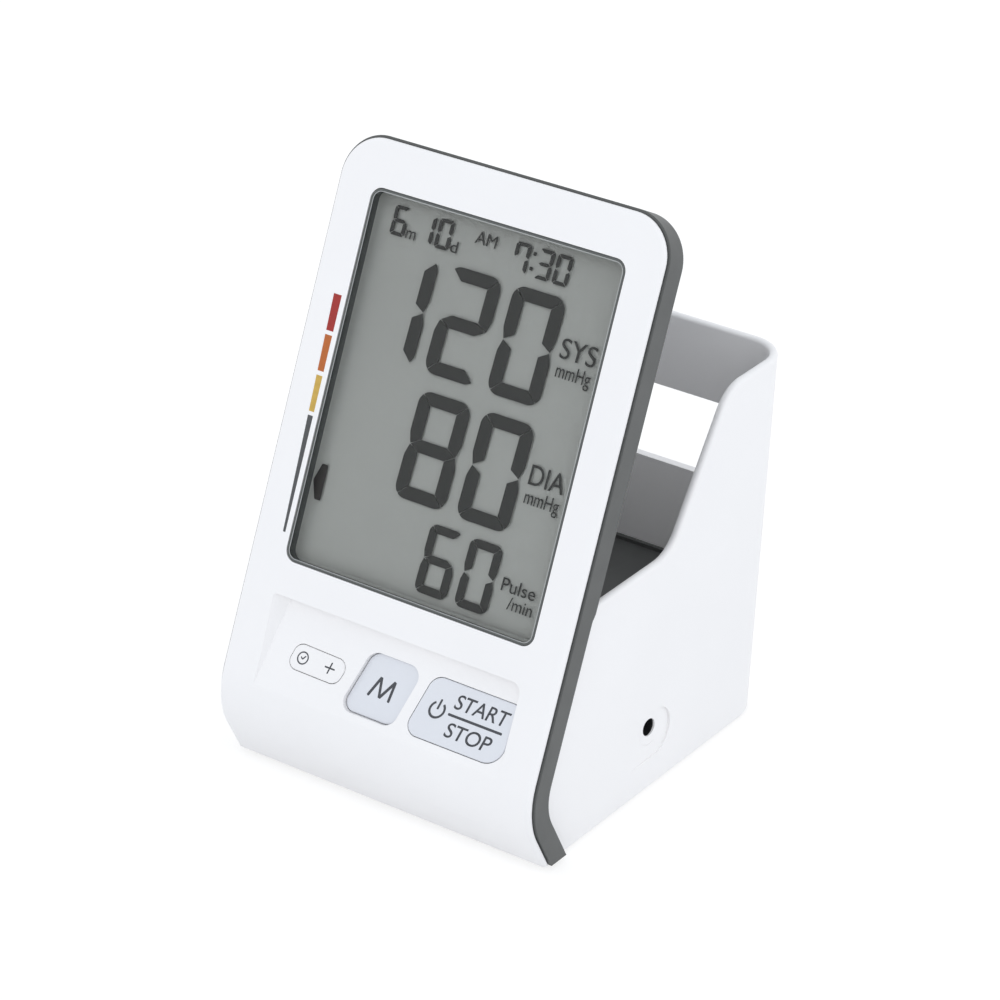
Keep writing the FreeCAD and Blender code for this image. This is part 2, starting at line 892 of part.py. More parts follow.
# ---------------------------------------------------------------- cradle
def cradle_profile():
    """Side view of the cradle: shelf, slope, shoulder and flat top, all round the back."""
    corners = [
        (-toe_radius, 0),
        (far, 0),
        (far, cradle_top),
        (shoulder_bend_y, cradle_top),
        (shelf_bend_y, shelf_height),
        (-toe_radius, shelf_height),
    ]
    radii = [0, 0, 0, shoulder_bend, shelf_bend, 0]
    flat = Part.Face(rounded_wire(corners, radii, 0)).extrude(Vector(0, 0, 2 * beyond))
    flat.translate(Vector(0, 0, -beyond))
    upright = flat.copy()
    upright.rotate(Vector(0, 0, 0), Vector(1, 1, 1), 120)
    return upright


def dimple_tools():
    """Stepped shallow pocket round the power socket, deepest towards the back."""
    wall_x = socket_wall_x
    rear = socket_y + dimple_back + dimple_radius
    front = socket_y - dimple_run
    middle = socket_z - dimple_drop
    corners = [
        (front, middle - dimple_radius),
        (rear, middle - dimple_radius),
        (rear, middle + dimple_radius),
        (front, middle + dimple_radius),
    ]
    radii = [0, dimple_radius - 0.01, dimple_radius - 0.01, 0]
    outline = Part.Face(rounded_wire(corners, radii, 0)).extrude(Vector(0, 0, far))
    outline.rotate(Vector(0, 0, 0), Vector(1, 1, 1), 120)
    wedge = Part.Face(Part.makePolygon([
        Vector(wall_x, front, 0),
        Vector(wall_x - dimple_depth, rear, 0),
        Vector(wall_x + band_depth, rear, 0),
        Vector(wall_x + band_depth, front, 0),
        Vector(wall_x, front, 0),
    ])).extrude(Vector(0, 0, far))
    outer = outline.common(wedge)
    inner = rod(dimple_inner_radius, (wall_x - dimple_inner_depth / 2, socket_y, socket_z), (1, 0, 0), far)
    inner.rotate(Vector(wall_x, socket_y, socket_z), Vector(0, 0, 1), -dimple_inner_tilt)
    return [outer, inner]


def is_rim(face):
    """Whether a face of the cradle belongs to its top rim."""
    surface = face.Surface
    if isinstance(surface, Part.Cylinder):
        return abs(surface.Axis.x) > 0.99
    middle = face.normalAt(*[sum(face.ParameterRange[i:i + 2]) / 2 for i in (0, 2)])
    return abs(middle.x) < 0.001 and middle.z > 0.1


def outer_edges(faces):
    """Edges that belong to only one of the faces."""
    edges = [edge for face in faces for edge in face.Edges]
    return [edge for edge in edges if sum(edge.isSame(other) for other in edges) == 1]


def make_cradle():
    """The whole moulding: both side walls and the wrap round the back."""
    shell = cradle_core(0, 0, cradle_top).cut(cradle_core(cradle_wall, 0, cradle_top))
    shell = shell.common(cradle_profile())
    rim = [edge for edge in outer_edges([face for face in shell.Faces if is_rim(face)])
           if edge.BoundBox.YMax > -toe_radius + 1]
    shell = shell.makeFillet(cradle_rim, rim)
    ledges = []
    for low in (base_wall, floor_under - ledge_height):
        high = low + ledge_height
        ledge = cradle_core(cradle_wall / 2, low, high).cut(
            cradle_core(cradle_wall + ledge_reach, low, high))
        ledges.append(ledge)
    reach = front_limit(-band_depth - base_gap / 2)
    tongue = step_strip(-band_depth + band_step - base_gap / 2, -base_gap)
    limit = joined([reach, tongue])
    whole = joined([shell] + ledges).common(limit)
    window_corners = oblong(rear_window_half, rear_window_low, rear_window_high)
    window = prism(window_corners, [rear_window_corner] * 4, 0, far)
    window.rotate(Vector(0, 0, 0), Vector(1, 0, 0), 90)
    window.translate(Vector(0, cradle_rear + far - cradle_half, 0))
    plug_hole = rod(plug_hole_radius, (0, socket_y, socket_z), (1, 0, 0), far)
    port_hole = rod(port_body_radius + port_play, (0, socket_y, socket_z), (-1, 0, 0), far)
    return without(whole, [window, plug_hole, port_hole] + dimple_tools())


def cradle_pieces():
    """Left wall, right wall and rear wrap, which meet flush at a seam in each side."""
    whole = make_cradle()
    left = whole.common(box(-far, 0, -far, cradle_seam_y, -far, far))
    right = whole.common(box(0, far, -far, cradle_seam_y, -far, far))
    rear = whole.common(box(-far, far, cradle_seam_y, far, -far, far))
    return left, right, rear


# ---------------------------------------------------------------- base and feet
def foot_places():
    return [(side * foot_x, y) for side in (-1, 1) for y in (foot_front_y, foot_rear_y)]


def make_base_plate():
    wide = cradle_half - cradle_wall - base_gap
    narrow = band_half - flange_reach - base_gap
    front = profile_points(cover_inner, panel_length, 0)[-1].y + base_gap
    flange_rear = profile_points(-band_depth, panel_length, 0)[-1].y + 2 * base_gap + base_wall
    rear = cradle_rear - cradle_wall - base_gap
    corner = cradle_corner - cradle_wall - base_gap
    main = prism(oblong(wide, flange_rear, rear), [0, 0, corner, corner], 0, base_wall)
    tongue = prism(oblong(narrow, front, flange_rear), [0] * 4, 0, base_wall)
    lug_front = hinge_y - barrel_radius
    lug_rear = tray_front - door_gap
    opening_half = tray_half + door_gap
    lugs = []
    for side in (-1, 1):
        edges = sorted([side * opening_half, side * (opening_half + 2 * hinge_pin_length)])
        lugs.append(box(edges[0], edges[1], lug_front, lug_rear, 0, 2 * hinge_z))
    plate = joined([main, tongue] + lugs)
    door_room = box(-opening_half, opening_half, door_front, door_rear + door_gap, -far, base_wall)
    pin_bore = rod(hinge_pin_radius + hinge_play, (-tray_half - 2 * hinge_pin_length, hinge_y, hinge_z),
                   (1, 0, 0), 2 * tray_half + 4 * hinge_pin_length)
    tools = [door_room, pin_bore]
    for x, y in foot_places():
        tools.append(rod(foot_radius + base_gap, (x, y, 0), (0, 0, 1), foot_sink))
    for x, y in post_places():
        tools.append(rod(base_screw_radius + shank_play, (x, y, 0), (0, 0, 1), base_wall))
        tools.append(rod(base_screw_head_radius + shank_play, (x, y, 0), (0, 0, 1),
                         base_screw_head + base_gap))
    return without(plate, tools)


def make_socket_supports():
    """Two blocks on the base plate, one under each socket."""
    jack_rest = box(jack_outer_x - jack_length, cradle_half - 2 * cradle_wall,
                    socket_y - jack_half, socket_y + jack_half, base_wall, socket_z - jack_half)
    port_rest = box(-cradle_half + 2 * cradle_wall, port_body_length - cradle_half - cradle_wall,
                    socket_y - port_radius, socket_y + port_radius, base_wall, socket_z)
    port_room = rod(port_body_radius, (0, socket_y, socket_z), (-1, 0, 0), far)
    return Part.makeCompound([jack_rest, port_rest.cut(port_room)])


def make_foot(x, y):
    pad = rod(foot_radius, (x, y, -foot_stand), (0, 0, 1), foot_stand + foot_sink)
    lower = [edge for edge in pad.Edges if edge.BoundBox.ZMax < -foot_stand + 0.01]
    return pad.makeFillet(foot_edge, lower)


# ---------------------------------------------------------------- power
def cell_places():
    """Middle of each cell across the tray, with the end at which its spring sits."""
    first = -(cell_count - 1) * cell_pitch / 2
    return [(first + index * cell_pitch, index % 2 == 0) for index in range(cell_count)]


def make_battery(x, spring_in_front):
    front = tray_inner_front + contact_thickness
    if spring_in_front:
        front += spring_reach
    can = rod(cell_diameter / 2, (x, front, cell_z), (0, 1, 0), cell_length - cell_nub)
    ends = [edge for edge in can.Edges if edge.BoundBox.YLength < 0.01]
    can = can.makeFillet(cell_edge, ends)
    nub = rod(cell_nub_radius, (x, front + cell_length / 2, cell_z), (0, 1, 0), cell_length / 2)
    cell = joined([can, nub])
    if not spring_in_front:
        middle = Vector(x, front + cell_length / 2, cell_z)
        cell.rotate(middle, Vector(0, 0, 1), 180)
    return cell


def make_battery_tray():
    outer = box(-tray_outer_half, tray_outer_half, tray_front, tray_inner_rear + tray_wall,
                base_wall, tray_roof + tray_wall)
    inner = box(-tray_half, tray_half, tray_inner_front, tray_inner_rear, 0, tray_roof)
    return outer.cut(inner)


def make_contact_plates():
    half = contact_size / 2
    pieces = []
    for x, _ in cell_places():
        for front in (tray_inner_front, tray_inner_rear - contact_thickness):
            pieces.append(box(x - half, x + half, front, front + contact_thickness,
                              cell_z - half, cell_z + half))
    return Part.makeCompound(pieces)


def make_contact_springs():
    """Bowed leaf from each cell's flat end back to its contact plate."""
    pieces = []
    half = contact_size / 2
    for x, in_front in cell_places():
        start = tray_inner_front + contact_thickness if in_front else tray_inner_rear - contact_thickness
        way = 1 if in_front else -1
        bow = [
            Vector(x, start, cell_z - half),
            Vector(x, start + way * spring_reach, cell_z),
            Vector(x, start, cell_z + half),
        ]
        inner = [
            Vector(x, start, cell_z - half + 2 * contact_thickness),
            Vector(x, start + way * (spring_reach - contact_thickness), cell_z),
            Vector(x, start, cell_z + half - 2 * contact_thickness),
        ]
        edges = [
            Part.Arc(*bow).toShape(),
            Part.makeLine(bow[2], inner[2]),
            Part.Arc(*inner).toShape(),
            Part.makeLine(inner[0], bow[0]),
        ]
        leaf = Part.Face(Part.Wire(Part.__sortEdges__(edges)))
        leaf.translate(Vector(-spring_width / 2, 0, 0))
        pieces.append(leaf.extrude(Vector(spring_width, 0, 0)))
    return Part.makeCompound(pieces)


def make_battery_cover():
    half = tray_half
    plate = box(-half, half, hinge_y, door_rear, 0, door_thickness)
    barrel = rod(barrel_radius, (-half, hinge_y, hinge_z), (1, 0, 0), 2 * half)
    pin_reach = half + door_gap + hinge_pin_length
    pin = rod(hinge_pin_radius, (-pin_reach, hinge_y, hinge_z), (1, 0, 0), 2 * pin_reach)
    latch = box(-latch_width / 2, latch_width / 2, door_rear - latch_thickness, door_rear,
                door_thickness / 2, door_thickness + latch_height)
    return joined([plate, barrel, pin, latch])


# ---------------------------------------------------------------- sockets
def make_dc_jack():
    body = box(jack_outer_x - jack_length, jack_outer_x, socket_y - jack_half, socket_y + jack_half,
               socket_z - jack_half, socket_z + jack_half)
    bore = rod(jack_bore_radius, (jack_outer_x - jack_bore_depth, socket_y, socket_z), (1, 0, 0),
               jack_bore_depth)
    return body.cut(bore)


def make_dc_jack_pin():
    start = jack_outer_x - jack_bore_depth
    return rod(plug_pin_radius, (start, socket_y, socket_z), (1, 0, 0), jack_bore_depth - jack_wall)


def make_air_socket():
    body = rod(port_body_radius, (-socket_wall_x, socket_y, socket_z), (1, 0, 0), port_body_length)
    nozzle = rod(nozzle_radius, (manifold_x, socket_y, socket_z), (0, -1, 0),
                 port_body_radius + nozzle_length)
    bore = rod(port_radius, (-socket_wall_x, socket_y, socket_z), (1, 0, 0), port_depth)
    return joined([body, nozzle]).cut(bore)


# ---------------------------------------------------------------- pump, valve and air
def make_pump_motor():
    can = rod(motor_radius, (motor_start_x, pump_y, pump_z), (1, 0, 0), motor_length)
    room = rod(motor_radius - motor_wall, (motor_start_x + motor_wall, pump_y, pump_z), (1, 0, 0),
               motor_length - 2 * motor_wall)
    bore = rod(shaft_radius + shaft_play, (motor_start_x, pump_y, pump_z), (1, 0, 0), motor_length)
    return without(can, [room, bore])


def make_pump_head():
    start = pump_tube_end
    block = prism([(start, pump_y - head_half), (motor_start_x, pump_y - head_half),
                   (motor_start_x, pump_y + head_half), (start, pump_y + head_half)],
                  [head_wall] * 4, pump_z - head_half, pump_z + head_half)
    room = rod(crank_radius + crank_offset + crank_room,
               (motor_start_x - crank_length - 2 * crank_room, pump_y, pump_z), (1, 0, 0),
               crank_length + 2 * crank_room)
    nozzle = rod(nozzle_radius, (start - pump_tube_length / 2, pump_y, pump_z), (1, 0, 0),
                 pump_tube_length / 2 + head_wall)
    return joined([block.cut(room), nozzle])


def make_pump_rotor():
    middle = motor_start_x + motor_length / 2
    core = rod(rotor_radius, (middle - rotor_length / 2, pump_y, pump_z), (1, 0, 0), rotor_length)
    shaft_start = motor_start_x - crank_room - crank_length
    shaft = rod(shaft_radius, (shaft_start, pump_y, pump_z), (1, 0, 0),
                motor_end_x + shaft_stub - shaft_start)
    crank = rod(crank_radius, (shaft_start, pump_y + crank_offset, pump_z), (1, 0, 0), crank_length)
    return joined([core, shaft, crank])


def make_pump_bracket():
    """Two soft saddles, under the motor and under the head."""
    low = base_wall
    motor_middle = motor_start_x + motor_length / 2
    head_middle = motor_start_x - head_length / 2
    motor_saddle = box(motor_middle - saddle_length / 2, motor_middle + saddle_length / 2,
                       pump_y - saddle_half, pump_y + saddle_half, low, low + saddle_height)
    can = rod(motor_radius, (motor_start_x, pump_y, pump_z), (1, 0, 0), motor_length)
    head_saddle = box(head_middle - saddle_length / 2, head_middle + saddle_length / 2,
                      pump_y - saddle_half, pump_y + saddle_half, low, pump_z - head_half)
    return Part.makeCompound([motor_saddle.cut(can), head_saddle])


manifold_rear = manifold_front + manifold_length
manifold_y = manifold_front + manifold_length / 2


def make_exhaust_valve():
    return rod(valve_radius, (manifold_x, manifold_y, base_wall), (0, 0, 1), manifold_low - base_wall)


def make_air_manifold():
    block = box(manifold_x - manifold_half, manifold_x + manifold_half, manifold_front, manifold_rear,
                manifold_low, manifold_high)
    nozzles = [
        rod(nozzle_radius, (manifold_x, pump_y, pump_z), (1, 0, 0), manifold_half + pump_tube_length / 4),
        rod(nozzle_radius, (manifold_x, manifold_y, socket_z), (0, 1, 0),
            manifold_length / 2 + nozzle_length),
        rod(nozzle_radius, (manifold_x, manifold_y, sensor_tube_height), (0, -1, 0),
            manifold_length / 2 + nozzle_length),
    ]
    return joined([block] + nozzles)


def make_pressure_sensor():
    """Sensor on the back of the board, its nozzle pointing back and down."""
    case = box(manifold_x - sensor_half, manifold_x + sensor_half, sensor_v - sensor_half,
               sensor_v + sensor_half, board_back - sensor_height, board_back)
    nozzle = rod(nozzle_radius, (manifold_x, sensor_v, board_back - sensor_height), (0, 0, -1),
                 nozzle_length)
    return on_panel(joined([case, nozzle]))


def hollow_tube(start, end):
    """Straight tube between two points."""
    way = end - start
    outer = Part.makeCylinder(tube_radius, way.Length, start, way)
    inner = Part.makeCylinder(tube_bore, way.Length, start, way)
    return outer.cut(inner)


def make_pump_tube():
    start = Vector(manifold_x + manifold_half, pump_y, pump_z)
    return hollow_tube(start, Vector(pump_tube_end, pump_y, pump_z))


def make_socket_tube():
    start = Vector(manifold_x, manifold_rear, socket_z)
    return hollow_tube(start, Vector(manifold_x, socket_y - port_body_radius, socket_z))


def make_sensor_tube():
    """Tube with one gentle bend from the sensor down to the manifold."""
    root = panel_point(sensor_v, board_back - sensor_height)
    start = Vector(manifold_x, root.y, root.z)
    down = Vector(0, math.cos(lean), -math.sin(lean))
    corner = start + down * ((start.z - sensor_tube_height) / math.sin(lean))
    end = Vector(manifold_x, manifold_front, sensor_tube_height)
    level = (end - corner).normalize()
    bend = 0.45 * min((corner - start).Length, (end - corner).Length)
    entry = corner - down * bend
    leave = corner + level * bend
    radius = bend / math.tan(down.getAngle(level) / 2)
    inward = (level - down).normalize()
    middle = corner + inward * (math.hypot(radius, bend) - radius)
    path = Part.Wire([
        Part.makeLine(start, entry),
        Part.Arc(entry, middle, leave).toShape(),
        Part.makeLine(leave, end),
    ])
    outer = Part.Wire(Part.makeCircle(tube_radius, start, down))
    inner = Part.Wire(Part.makeCircle(tube_bore, start, down))
    tube = path.makePipeShell([outer], True, False)
    return tube.cut(path.makePipeShell([inner], True, False))


# ---------------------------------------------------------------- electronics
def make_main_board():
    plate = prism(oblong(board_half, board_low, board_high), [0, 0, board_corner, board_corner],
                  board_back, -board_depth)
    holes = [rod(screw_radius + shank_play, (u, v, -far), (0, 0, 1), 2 * far)
             for u, v in boss_places(board_boss_u)]
    holes += [rod(boss_radius + skirt_gap, (u, v, -far), (0, 0, 1), 2 * far)
              for u, v in boss_places(case_boss_u)]
    return on_panel(without(plate, holes))


def make_board_chips():
    """Processor, memory, amplifier and motor driver on the back of the board."""
    low = board_back - chip_height
    pieces = []
    for u, v, half_u, half_v in chip_places:
        pieces.append(box(u - half_u, u + half_u, v - half_v, v + half_v, low, board_back))
    return on_panel(Part.makeCompound(pieces))


def make_buzzer():
    can = rod(buzzer_radius, (buzzer_u, buzzer_v, board_back), (0, 0, -1), buzzer_height)
    sound_hole = rod(buzzer_hole_radius, (buzzer_u, buzzer_v, board_back - buzzer_height), (0, 0, 1),
                     buzzer_height / 2)
    return on_panel(can.cut(sound_hole))


# ---------------------------------------------------------------- fasteners
def screw(radius, head_radius, head, length, place, direction):
    """Screw whose head starts at a place and whose shank runs on in a direction."""
    way = Vector(*direction)
    top = rod(head_radius, place, direction, head)
    start = Vector(*place) + way * head
    shank = Part.makeCylinder(radius, length, start, way)
    return joined([top, shank])


def make_case_screws():
    pieces = []
    for u, v in boss_places(case_boss_u):
        pieces.append(on_panel(screw(screw_radius, screw_head_radius, screw_head, head_depth / 2,
                                     (u, v, -head_depth), (0, 0, 1))))
    return Part.makeCompound(pieces)


def make_board_screws():
    pieces = []
    for u, v in boss_places(board_boss_u):
        pieces.append(on_panel(screw(screw_radius, screw_head_radius, screw_head,
                                     board_depth / 2 + board_thickness,
                                     (u, v, board_back - screw_head), (0, 0, 1))))
    return Part.makeCompound(pieces)


def make_base_screws():
    pieces = []
    for x, y in post_places():
        pieces.append(screw(base_screw_radius, base_screw_head_radius, base_screw_head,
                            base_screw_length, (x, y, base_gap), (0, 0, 1)))
    return Part.makeCompound(pieces)


# ---------------------------------------------------------------- the whole device
def make_parts():
    """Every piece by its name, in the case frame."""
    cradle_left, cradle_right, cradle_back = cradle_pieces()
    parts = {
        "front_cover": make_front_cover(),
        "display_lens": make_display_lens(),
        "display_frame": make_display_frame(),
        "lcd_panel": make_lcd_panel(),
        "lcd_reflector": make_lcd_reflector(),
        "lcd_connector": make_lcd_connector(),
        "start_stop_key": make_start_stop_key(),
        "start_stop_switch_button": switch_button(start_outline),
        "memory_key": make_memory_key(),
        "memory_switch_button": switch_button(memory_outline),
        "time_plus_key": make_time_plus_key(),
        "key_switches": make_key_switches(),
        "main_board": make_main_board(),
        "board_chips": make_board_chips(),
        "buzzer": make_buzzer(),
        "pressure_sensor": make_pressure_sensor(),
        "rear_shell": make_rear_shell(),
        "cradle_left_wall": cradle_left,
        "cradle_right_wall": cradle_right,
        "cradle_rear": cradle_back,
        "base_plate": make_base_plate(),
        "socket_supports": make_socket_supports(),
        "battery_tray": make_battery_tray(),
        "battery_contact_plates": make_contact_plates(),
        "battery_contact_springs": make_contact_springs(),
        "battery_cover": make_battery_cover(),
        "dc_jack": make_dc_jack(),
        "dc_jack_pin": make_dc_jack_pin(),
        "air_socket": make_air_socket(),
        "pump_motor": make_pump_motor(),
        "pump_head": make_pump_head(),
        "pump_rotor": make_pump_rotor(),
        "pump_bracket": make_pump_bracket(),
        "exhaust_valve": make_exhaust_valve(),
        "air_manifold": make_air_manifold(),
        "pump_tube": make_pump_tube(),
        "socket_tube": make_socket_tube(),
        "sensor_tube": make_sensor_tube(),
        "case_screws": make_case_screws(),
        "board_screws": make_board_screws(),
        "base_screws": make_base_screws(),
    }
    for index, (x, spring_in_front) in enumerate(cell_places()):
        parts[f"battery_{index + 1}"] = make_battery(x, spring_in_front)
    for index, (x, y) in enumerate(foot_places()):
        parts[f"foot_{index + 1}"] = make_foot(x, y)
    return parts


def main():
    os.makedirs("parts", exist_ok=True)
    for name, shape in make_parts().items():
        shape.translate(Vector(0, front_line_y, foot_stand))
        shape.exportStep(f"parts/{name}.step")
        box_size = shape.BoundBox
        print(f"{name:26s} solids {len(shape.Solids)} volume {shape.Volume:10.1f} valid {shape.isValid()}",
              f"x {box_size.XMin:.2f} {box_size.XMax:.2f} y {box_size.YMin:.2f} {box_size.YMax:.2f}",
              f"z {box_size.ZMin:.2f} {box_size.ZMax:.2f}")


main()
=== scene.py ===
"""Finishes, display reading, key prints and studio of a desktop blood pressure monitor.

Lengths are in metres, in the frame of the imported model: X to the right, Y to the back and Z
up, with the origin on the table under the middle of the monitor. Flat artwork is drawn in the
panel's own directions, u to the right and v up the slope, and then laid on the display, the
cover or a key. Its sizes and spots are written in millimetres.
"""

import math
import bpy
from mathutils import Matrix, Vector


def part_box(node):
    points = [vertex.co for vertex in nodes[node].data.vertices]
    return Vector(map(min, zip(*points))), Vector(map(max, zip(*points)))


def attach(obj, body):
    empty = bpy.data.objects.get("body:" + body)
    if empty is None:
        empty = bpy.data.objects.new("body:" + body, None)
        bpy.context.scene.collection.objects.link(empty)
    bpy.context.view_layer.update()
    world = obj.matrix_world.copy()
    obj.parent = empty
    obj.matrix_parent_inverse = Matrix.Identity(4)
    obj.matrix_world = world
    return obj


bl_info = {
    "name": "Cuff Cradle Monitor",
    "version": (1, 0, 0),
    "blender": (4, 5, 0),
    "location": "3D View > Sidebar > Monitor",
    "description": "Dresses a leaning blood pressure monitor with its finishes, reading and prints",
    "category": "Object",
}

import bmesh
import bpy
from mathutils import Matrix, Vector

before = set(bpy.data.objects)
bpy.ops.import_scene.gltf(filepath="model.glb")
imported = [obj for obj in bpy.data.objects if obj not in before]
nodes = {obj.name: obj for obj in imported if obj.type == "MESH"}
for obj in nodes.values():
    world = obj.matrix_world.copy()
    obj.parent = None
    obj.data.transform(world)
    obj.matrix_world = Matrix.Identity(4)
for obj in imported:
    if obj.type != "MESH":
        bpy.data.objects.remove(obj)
MM = 0.001
CASE = "case"


# ---------------------------------------------------------------- settings
def length(label, text, millimetres):
    """Distance setting, given in millimetres and kept in metres."""
    return bpy.props.FloatProperty(
        name=label,
        description=text,
        default=millimetres * MM,
        precision=5,
        unit="LENGTH",
        subtype="DISTANCE",
    )


def turn(label, text, degrees):
    """Angle setting, given in degrees."""
    return bpy.props.FloatProperty(
        name=label, description=text, default=math.radians(degrees), subtype="ANGLE"
    )


def power(label, text, watts):
    """Power setting of a lamp."""
    return bpy.props.FloatProperty(name=label, description=text, default=watts, unit="POWER")


def number(label, text, value):
    """Setting without a unit."""
    return bpy.props.FloatProperty(name=label, description=text, default=value)


def colour(label, text, value):
    """Linear colour setting."""
    return bpy.props.FloatVectorProperty(
        name=label, description=text, default=value, size=3, min=0.0, max=1.0, subtype="COLOR"
    )


class MonitorPanel(bpy.types.PropertyGroup):
    """Where the leaning panel and its layers are"""

    lean: turn("Lean", "How far the panel leans back from upright", 23.7)
    front_line: length("Front line", "Where the panel's seam plane meets the underside", -70.9935)
    stand: length("Stand", "Height of the underside over the table", 1.0)
    window_across: length("Window across", "Middle of the window across the panel", 0.45)
    window_along: length("Window along", "Middle of the window along the slope", 117.15)
    window_width: length("Window width", "Width of the lens", 80.86)
    window_height: length("Window height", "Height of the lens", 102.36)
    window_corner: length("Window corner", "Radius of the lens's corners", 2.7)
    lens_face: length("Lens face", "Height of the lens's face over the seam plane", 1.1)
    lens_line: length("Lens edge", "Width of the ground edge of the lens", 0.16)
    lens_line_depth: length("Lens edge depth", "Thickness of the ground edge of the lens", 0.05)
    cover_face: length("Cover face", "Height of the cover's face over the seam plane", 1.2)
    display_face: length("Display face", "Height of the display's front over the seam plane", -2.3)
    recess_bottom: length("Recess bottom", "Lower end of the key recess along the slope", 29.4)
    recess_top: length("Recess top", "Upper end of the key recess along the slope", 55.5)
    recess_depth: length("Recess depth", "How deep the key recess is at its upper end", 3.2)
    start_rise: length("Long key rise", "How far the long key stands over the recess floor", 0.2)
    memory_rise: length("Letter key rise", "Where the lettered key lies, below the recess floor", -1.2)
    pill_rise: length("Pill rise", "How far the rocking key stands over the recess floor", 0.2)
    socket_x: length("Socket middle", "Middle of the plug hole across the case", 49.0)
    socket_y: length("Socket depth", "Depth of the power socket's axis", -2.9935)
    socket_z: length("Socket height", "Height of the power socket's axis", 19.5)
    socket_radius: length("Plug hole", "Radius of the hole for the plug", 2.6)
    socket_length: length("Plug hole length", "Length of the hole through the wall", 1.5)
    liner_wall: length("Liner wall", "Wall of the black liner in the plug hole", 0.12)
    liner_clearance: length("Liner clearance", "Gap between the liner and its hole", 0.02)


class MonitorReading(bpy.types.PropertyGroup):
    """What the display shows and how large"""

    systolic: bpy.props.StringProperty(name="Systolic", description="Upper reading", default="120")
    diastolic: bpy.props.StringProperty(name="Diastolic", description="Lower reading", default=" 80")
    pulse: bpy.props.StringProperty(name="Pulse", description="Pulse reading", default="60")
    month: bpy.props.StringProperty(name="Month", description="Month of the reading", default="6")
    day: bpy.props.StringProperty(name="Day", description="Day of the reading", default="10")
    hour: bpy.props.StringProperty(name="Hour", description="Hour of the reading", default="7")
    minute: bpy.props.StringProperty(name="Minute", description="Minute of the reading", default="30")
    digit_height: length("Digit height", "Height of the pressure digits", 29.5)
    digit_width: length("Digit width", "Width of the pressure digits", 16.8)
    digit_pitch: length("Digit pitch", "Distance between pressure digits", 20.6)
    pulse_height: length("Pulse digit height", "Height of the pulse digits", 18.9)
    pulse_width: length("Pulse digit width", "Width of the pulse digits", 10.5)
    pulse_pitch: length("Pulse digit pitch", "Distance between pulse digits", 13.2)
    clock_height: length("Clock digit height", "Height of the date and time digits", 8.1)
    clock_width: length("Clock digit width", "Width of the date and time digits", 4.85)
    clock_pitch: length("Clock digit pitch", "Distance between date and time digits", 5.75)
    slant: number("Slant", "Sideways lean of the digits, as a share of their height", 0.034)
    gap: length("Segment gap", "Clear line between two segments", 0.22)
    glass: length("Glass", "Thickness of the display's front glass", 0.5)
    glass_width: length("Glass width", "Width of the display's front glass", 79.8)
    glass_height: length("Glass height", "Height of the display's front glass", 101.2)
    glass_corner: length("Glass corner", "Radius of the front glass's corners", 0.5)


class MonitorFinish(bpy.types.PropertyGroup):
    """Colours of the mouldings, the display and the prints"""

    shell: colour("Shell", "White moulded shell", (0.885, 0.870, 0.870))
    key: colour("Keys", "Pale keys", (0.720, 0.733, 0.775))
    band: colour("Band", "Dark band, head back and storage floor", (0.088, 0.091, 0.089))
    inside: colour("Display frame", "Dark holder round the display", (0.085, 0.092, 0.089))
    display: colour("Display", "Unlit display", (0.412, 0.422, 0.396))
    segment: colour("Segments", "Lit display segments", (0.016, 0.018, 0.017))
    ink: colour("Key ink", "Print on the keys", (0.046, 0.050, 0.060))
    high: colour("High range", "Top block of the range scale", (0.330, 0.014, 0.010))
    raised: colour("Raised range", "Second block of the range scale", (0.460, 0.115, 0.014))
    warm: colour("Upper normal range", "Third block of the range scale", (0.560, 0.360, 0.065))
    normal: colour("Normal range", "Tapering line of the range scale", (0.065, 0.068, 0.072))


class MonitorStudio(bpy.types.PropertyGroup):
    """Floor, lamps and camera"""

    floor_size: length("Floor", "Side of the square floor", 6000.0)
    main_power: power("Main lamp", "Power of the main lamp", 3.8)
    side_power: power("Side lamp", "Power of the side lamp", 4.7)
    front_power: power("Front lamp", "Power of the front lamp", 2.9)
    corner_power: power("Corner lamp", "Power of the corner lamp", 1.6)
    top_power: power("Top lamp", "Power of the top lamp", 0.8)
    surround: number("Surround", "Strength of the light from all round", 0.94)
    distance: length("Camera distance", "From the camera to the point it looks at", 1066.5)
    pitch: turn("Camera pitch", "Camera's turn up from looking straight down", 61.88)
    heading: turn("Camera heading", "Camera's turn about the vertical", 36.16)
    focal: number("Focal length", "In millimetres on a 36 mm wide sensor", 144.5)


GROUPS = {
    "monitor_panel": MonitorPanel,
    "monitor_reading": MonitorReading,
    "monitor_finish": MonitorFinish,
    "monitor_studio": MonitorStudio,
}


# ---------------------------------------------------------------- places
def on_panel(height):
    """Takes flat artwork to the leaning panel, at a height over its seam plane."""
    panel = bpy.context.scene.monitor_panel
    return (
        Matrix.Translation((0.0, panel.front_line, panel.stand))
        @ Matrix.Rotation(math.pi / 2 - panel.lean, 4, "X")
        @ Matrix.Translation((0.0, 0.0, height))
    )


def on_window(height):
    """Takes flat artwork to the middle of the window, at a height over the seam plane."""
    panel = bpy.context.scene.monitor_panel
    return on_panel(height) @ at(panel.window_across / MM, panel.window_along / MM)


def on_glass():
    """Takes flat artwork to the front of the display's glass."""
    scene = bpy.context.scene
    return on_panel(scene.monitor_panel.display_face + scene.monitor_reading.glass)


def on_key(rise):
    """Takes flat artwork to the tops of the keys, which slope with the floor of their recess."""
    panel = bpy.context.scene.monitor_panel
    fall = math.atan2(panel.recess_depth, panel.recess_top - panel.recess_bottom)
    return (
        on_panel(panel.cover_face + rise)
        @ Matrix.Translation((0.0, panel.recess_bottom, 0.0))
        @ Matrix.Rotation(-fall, 4, "X")
        @ Matrix.Scale(1 / math.cos(fall), 4, (0.0, 1.0, 0.0))
        @ Matrix.Translation((0.0, -panel.recess_bottom, 0.0))
    )


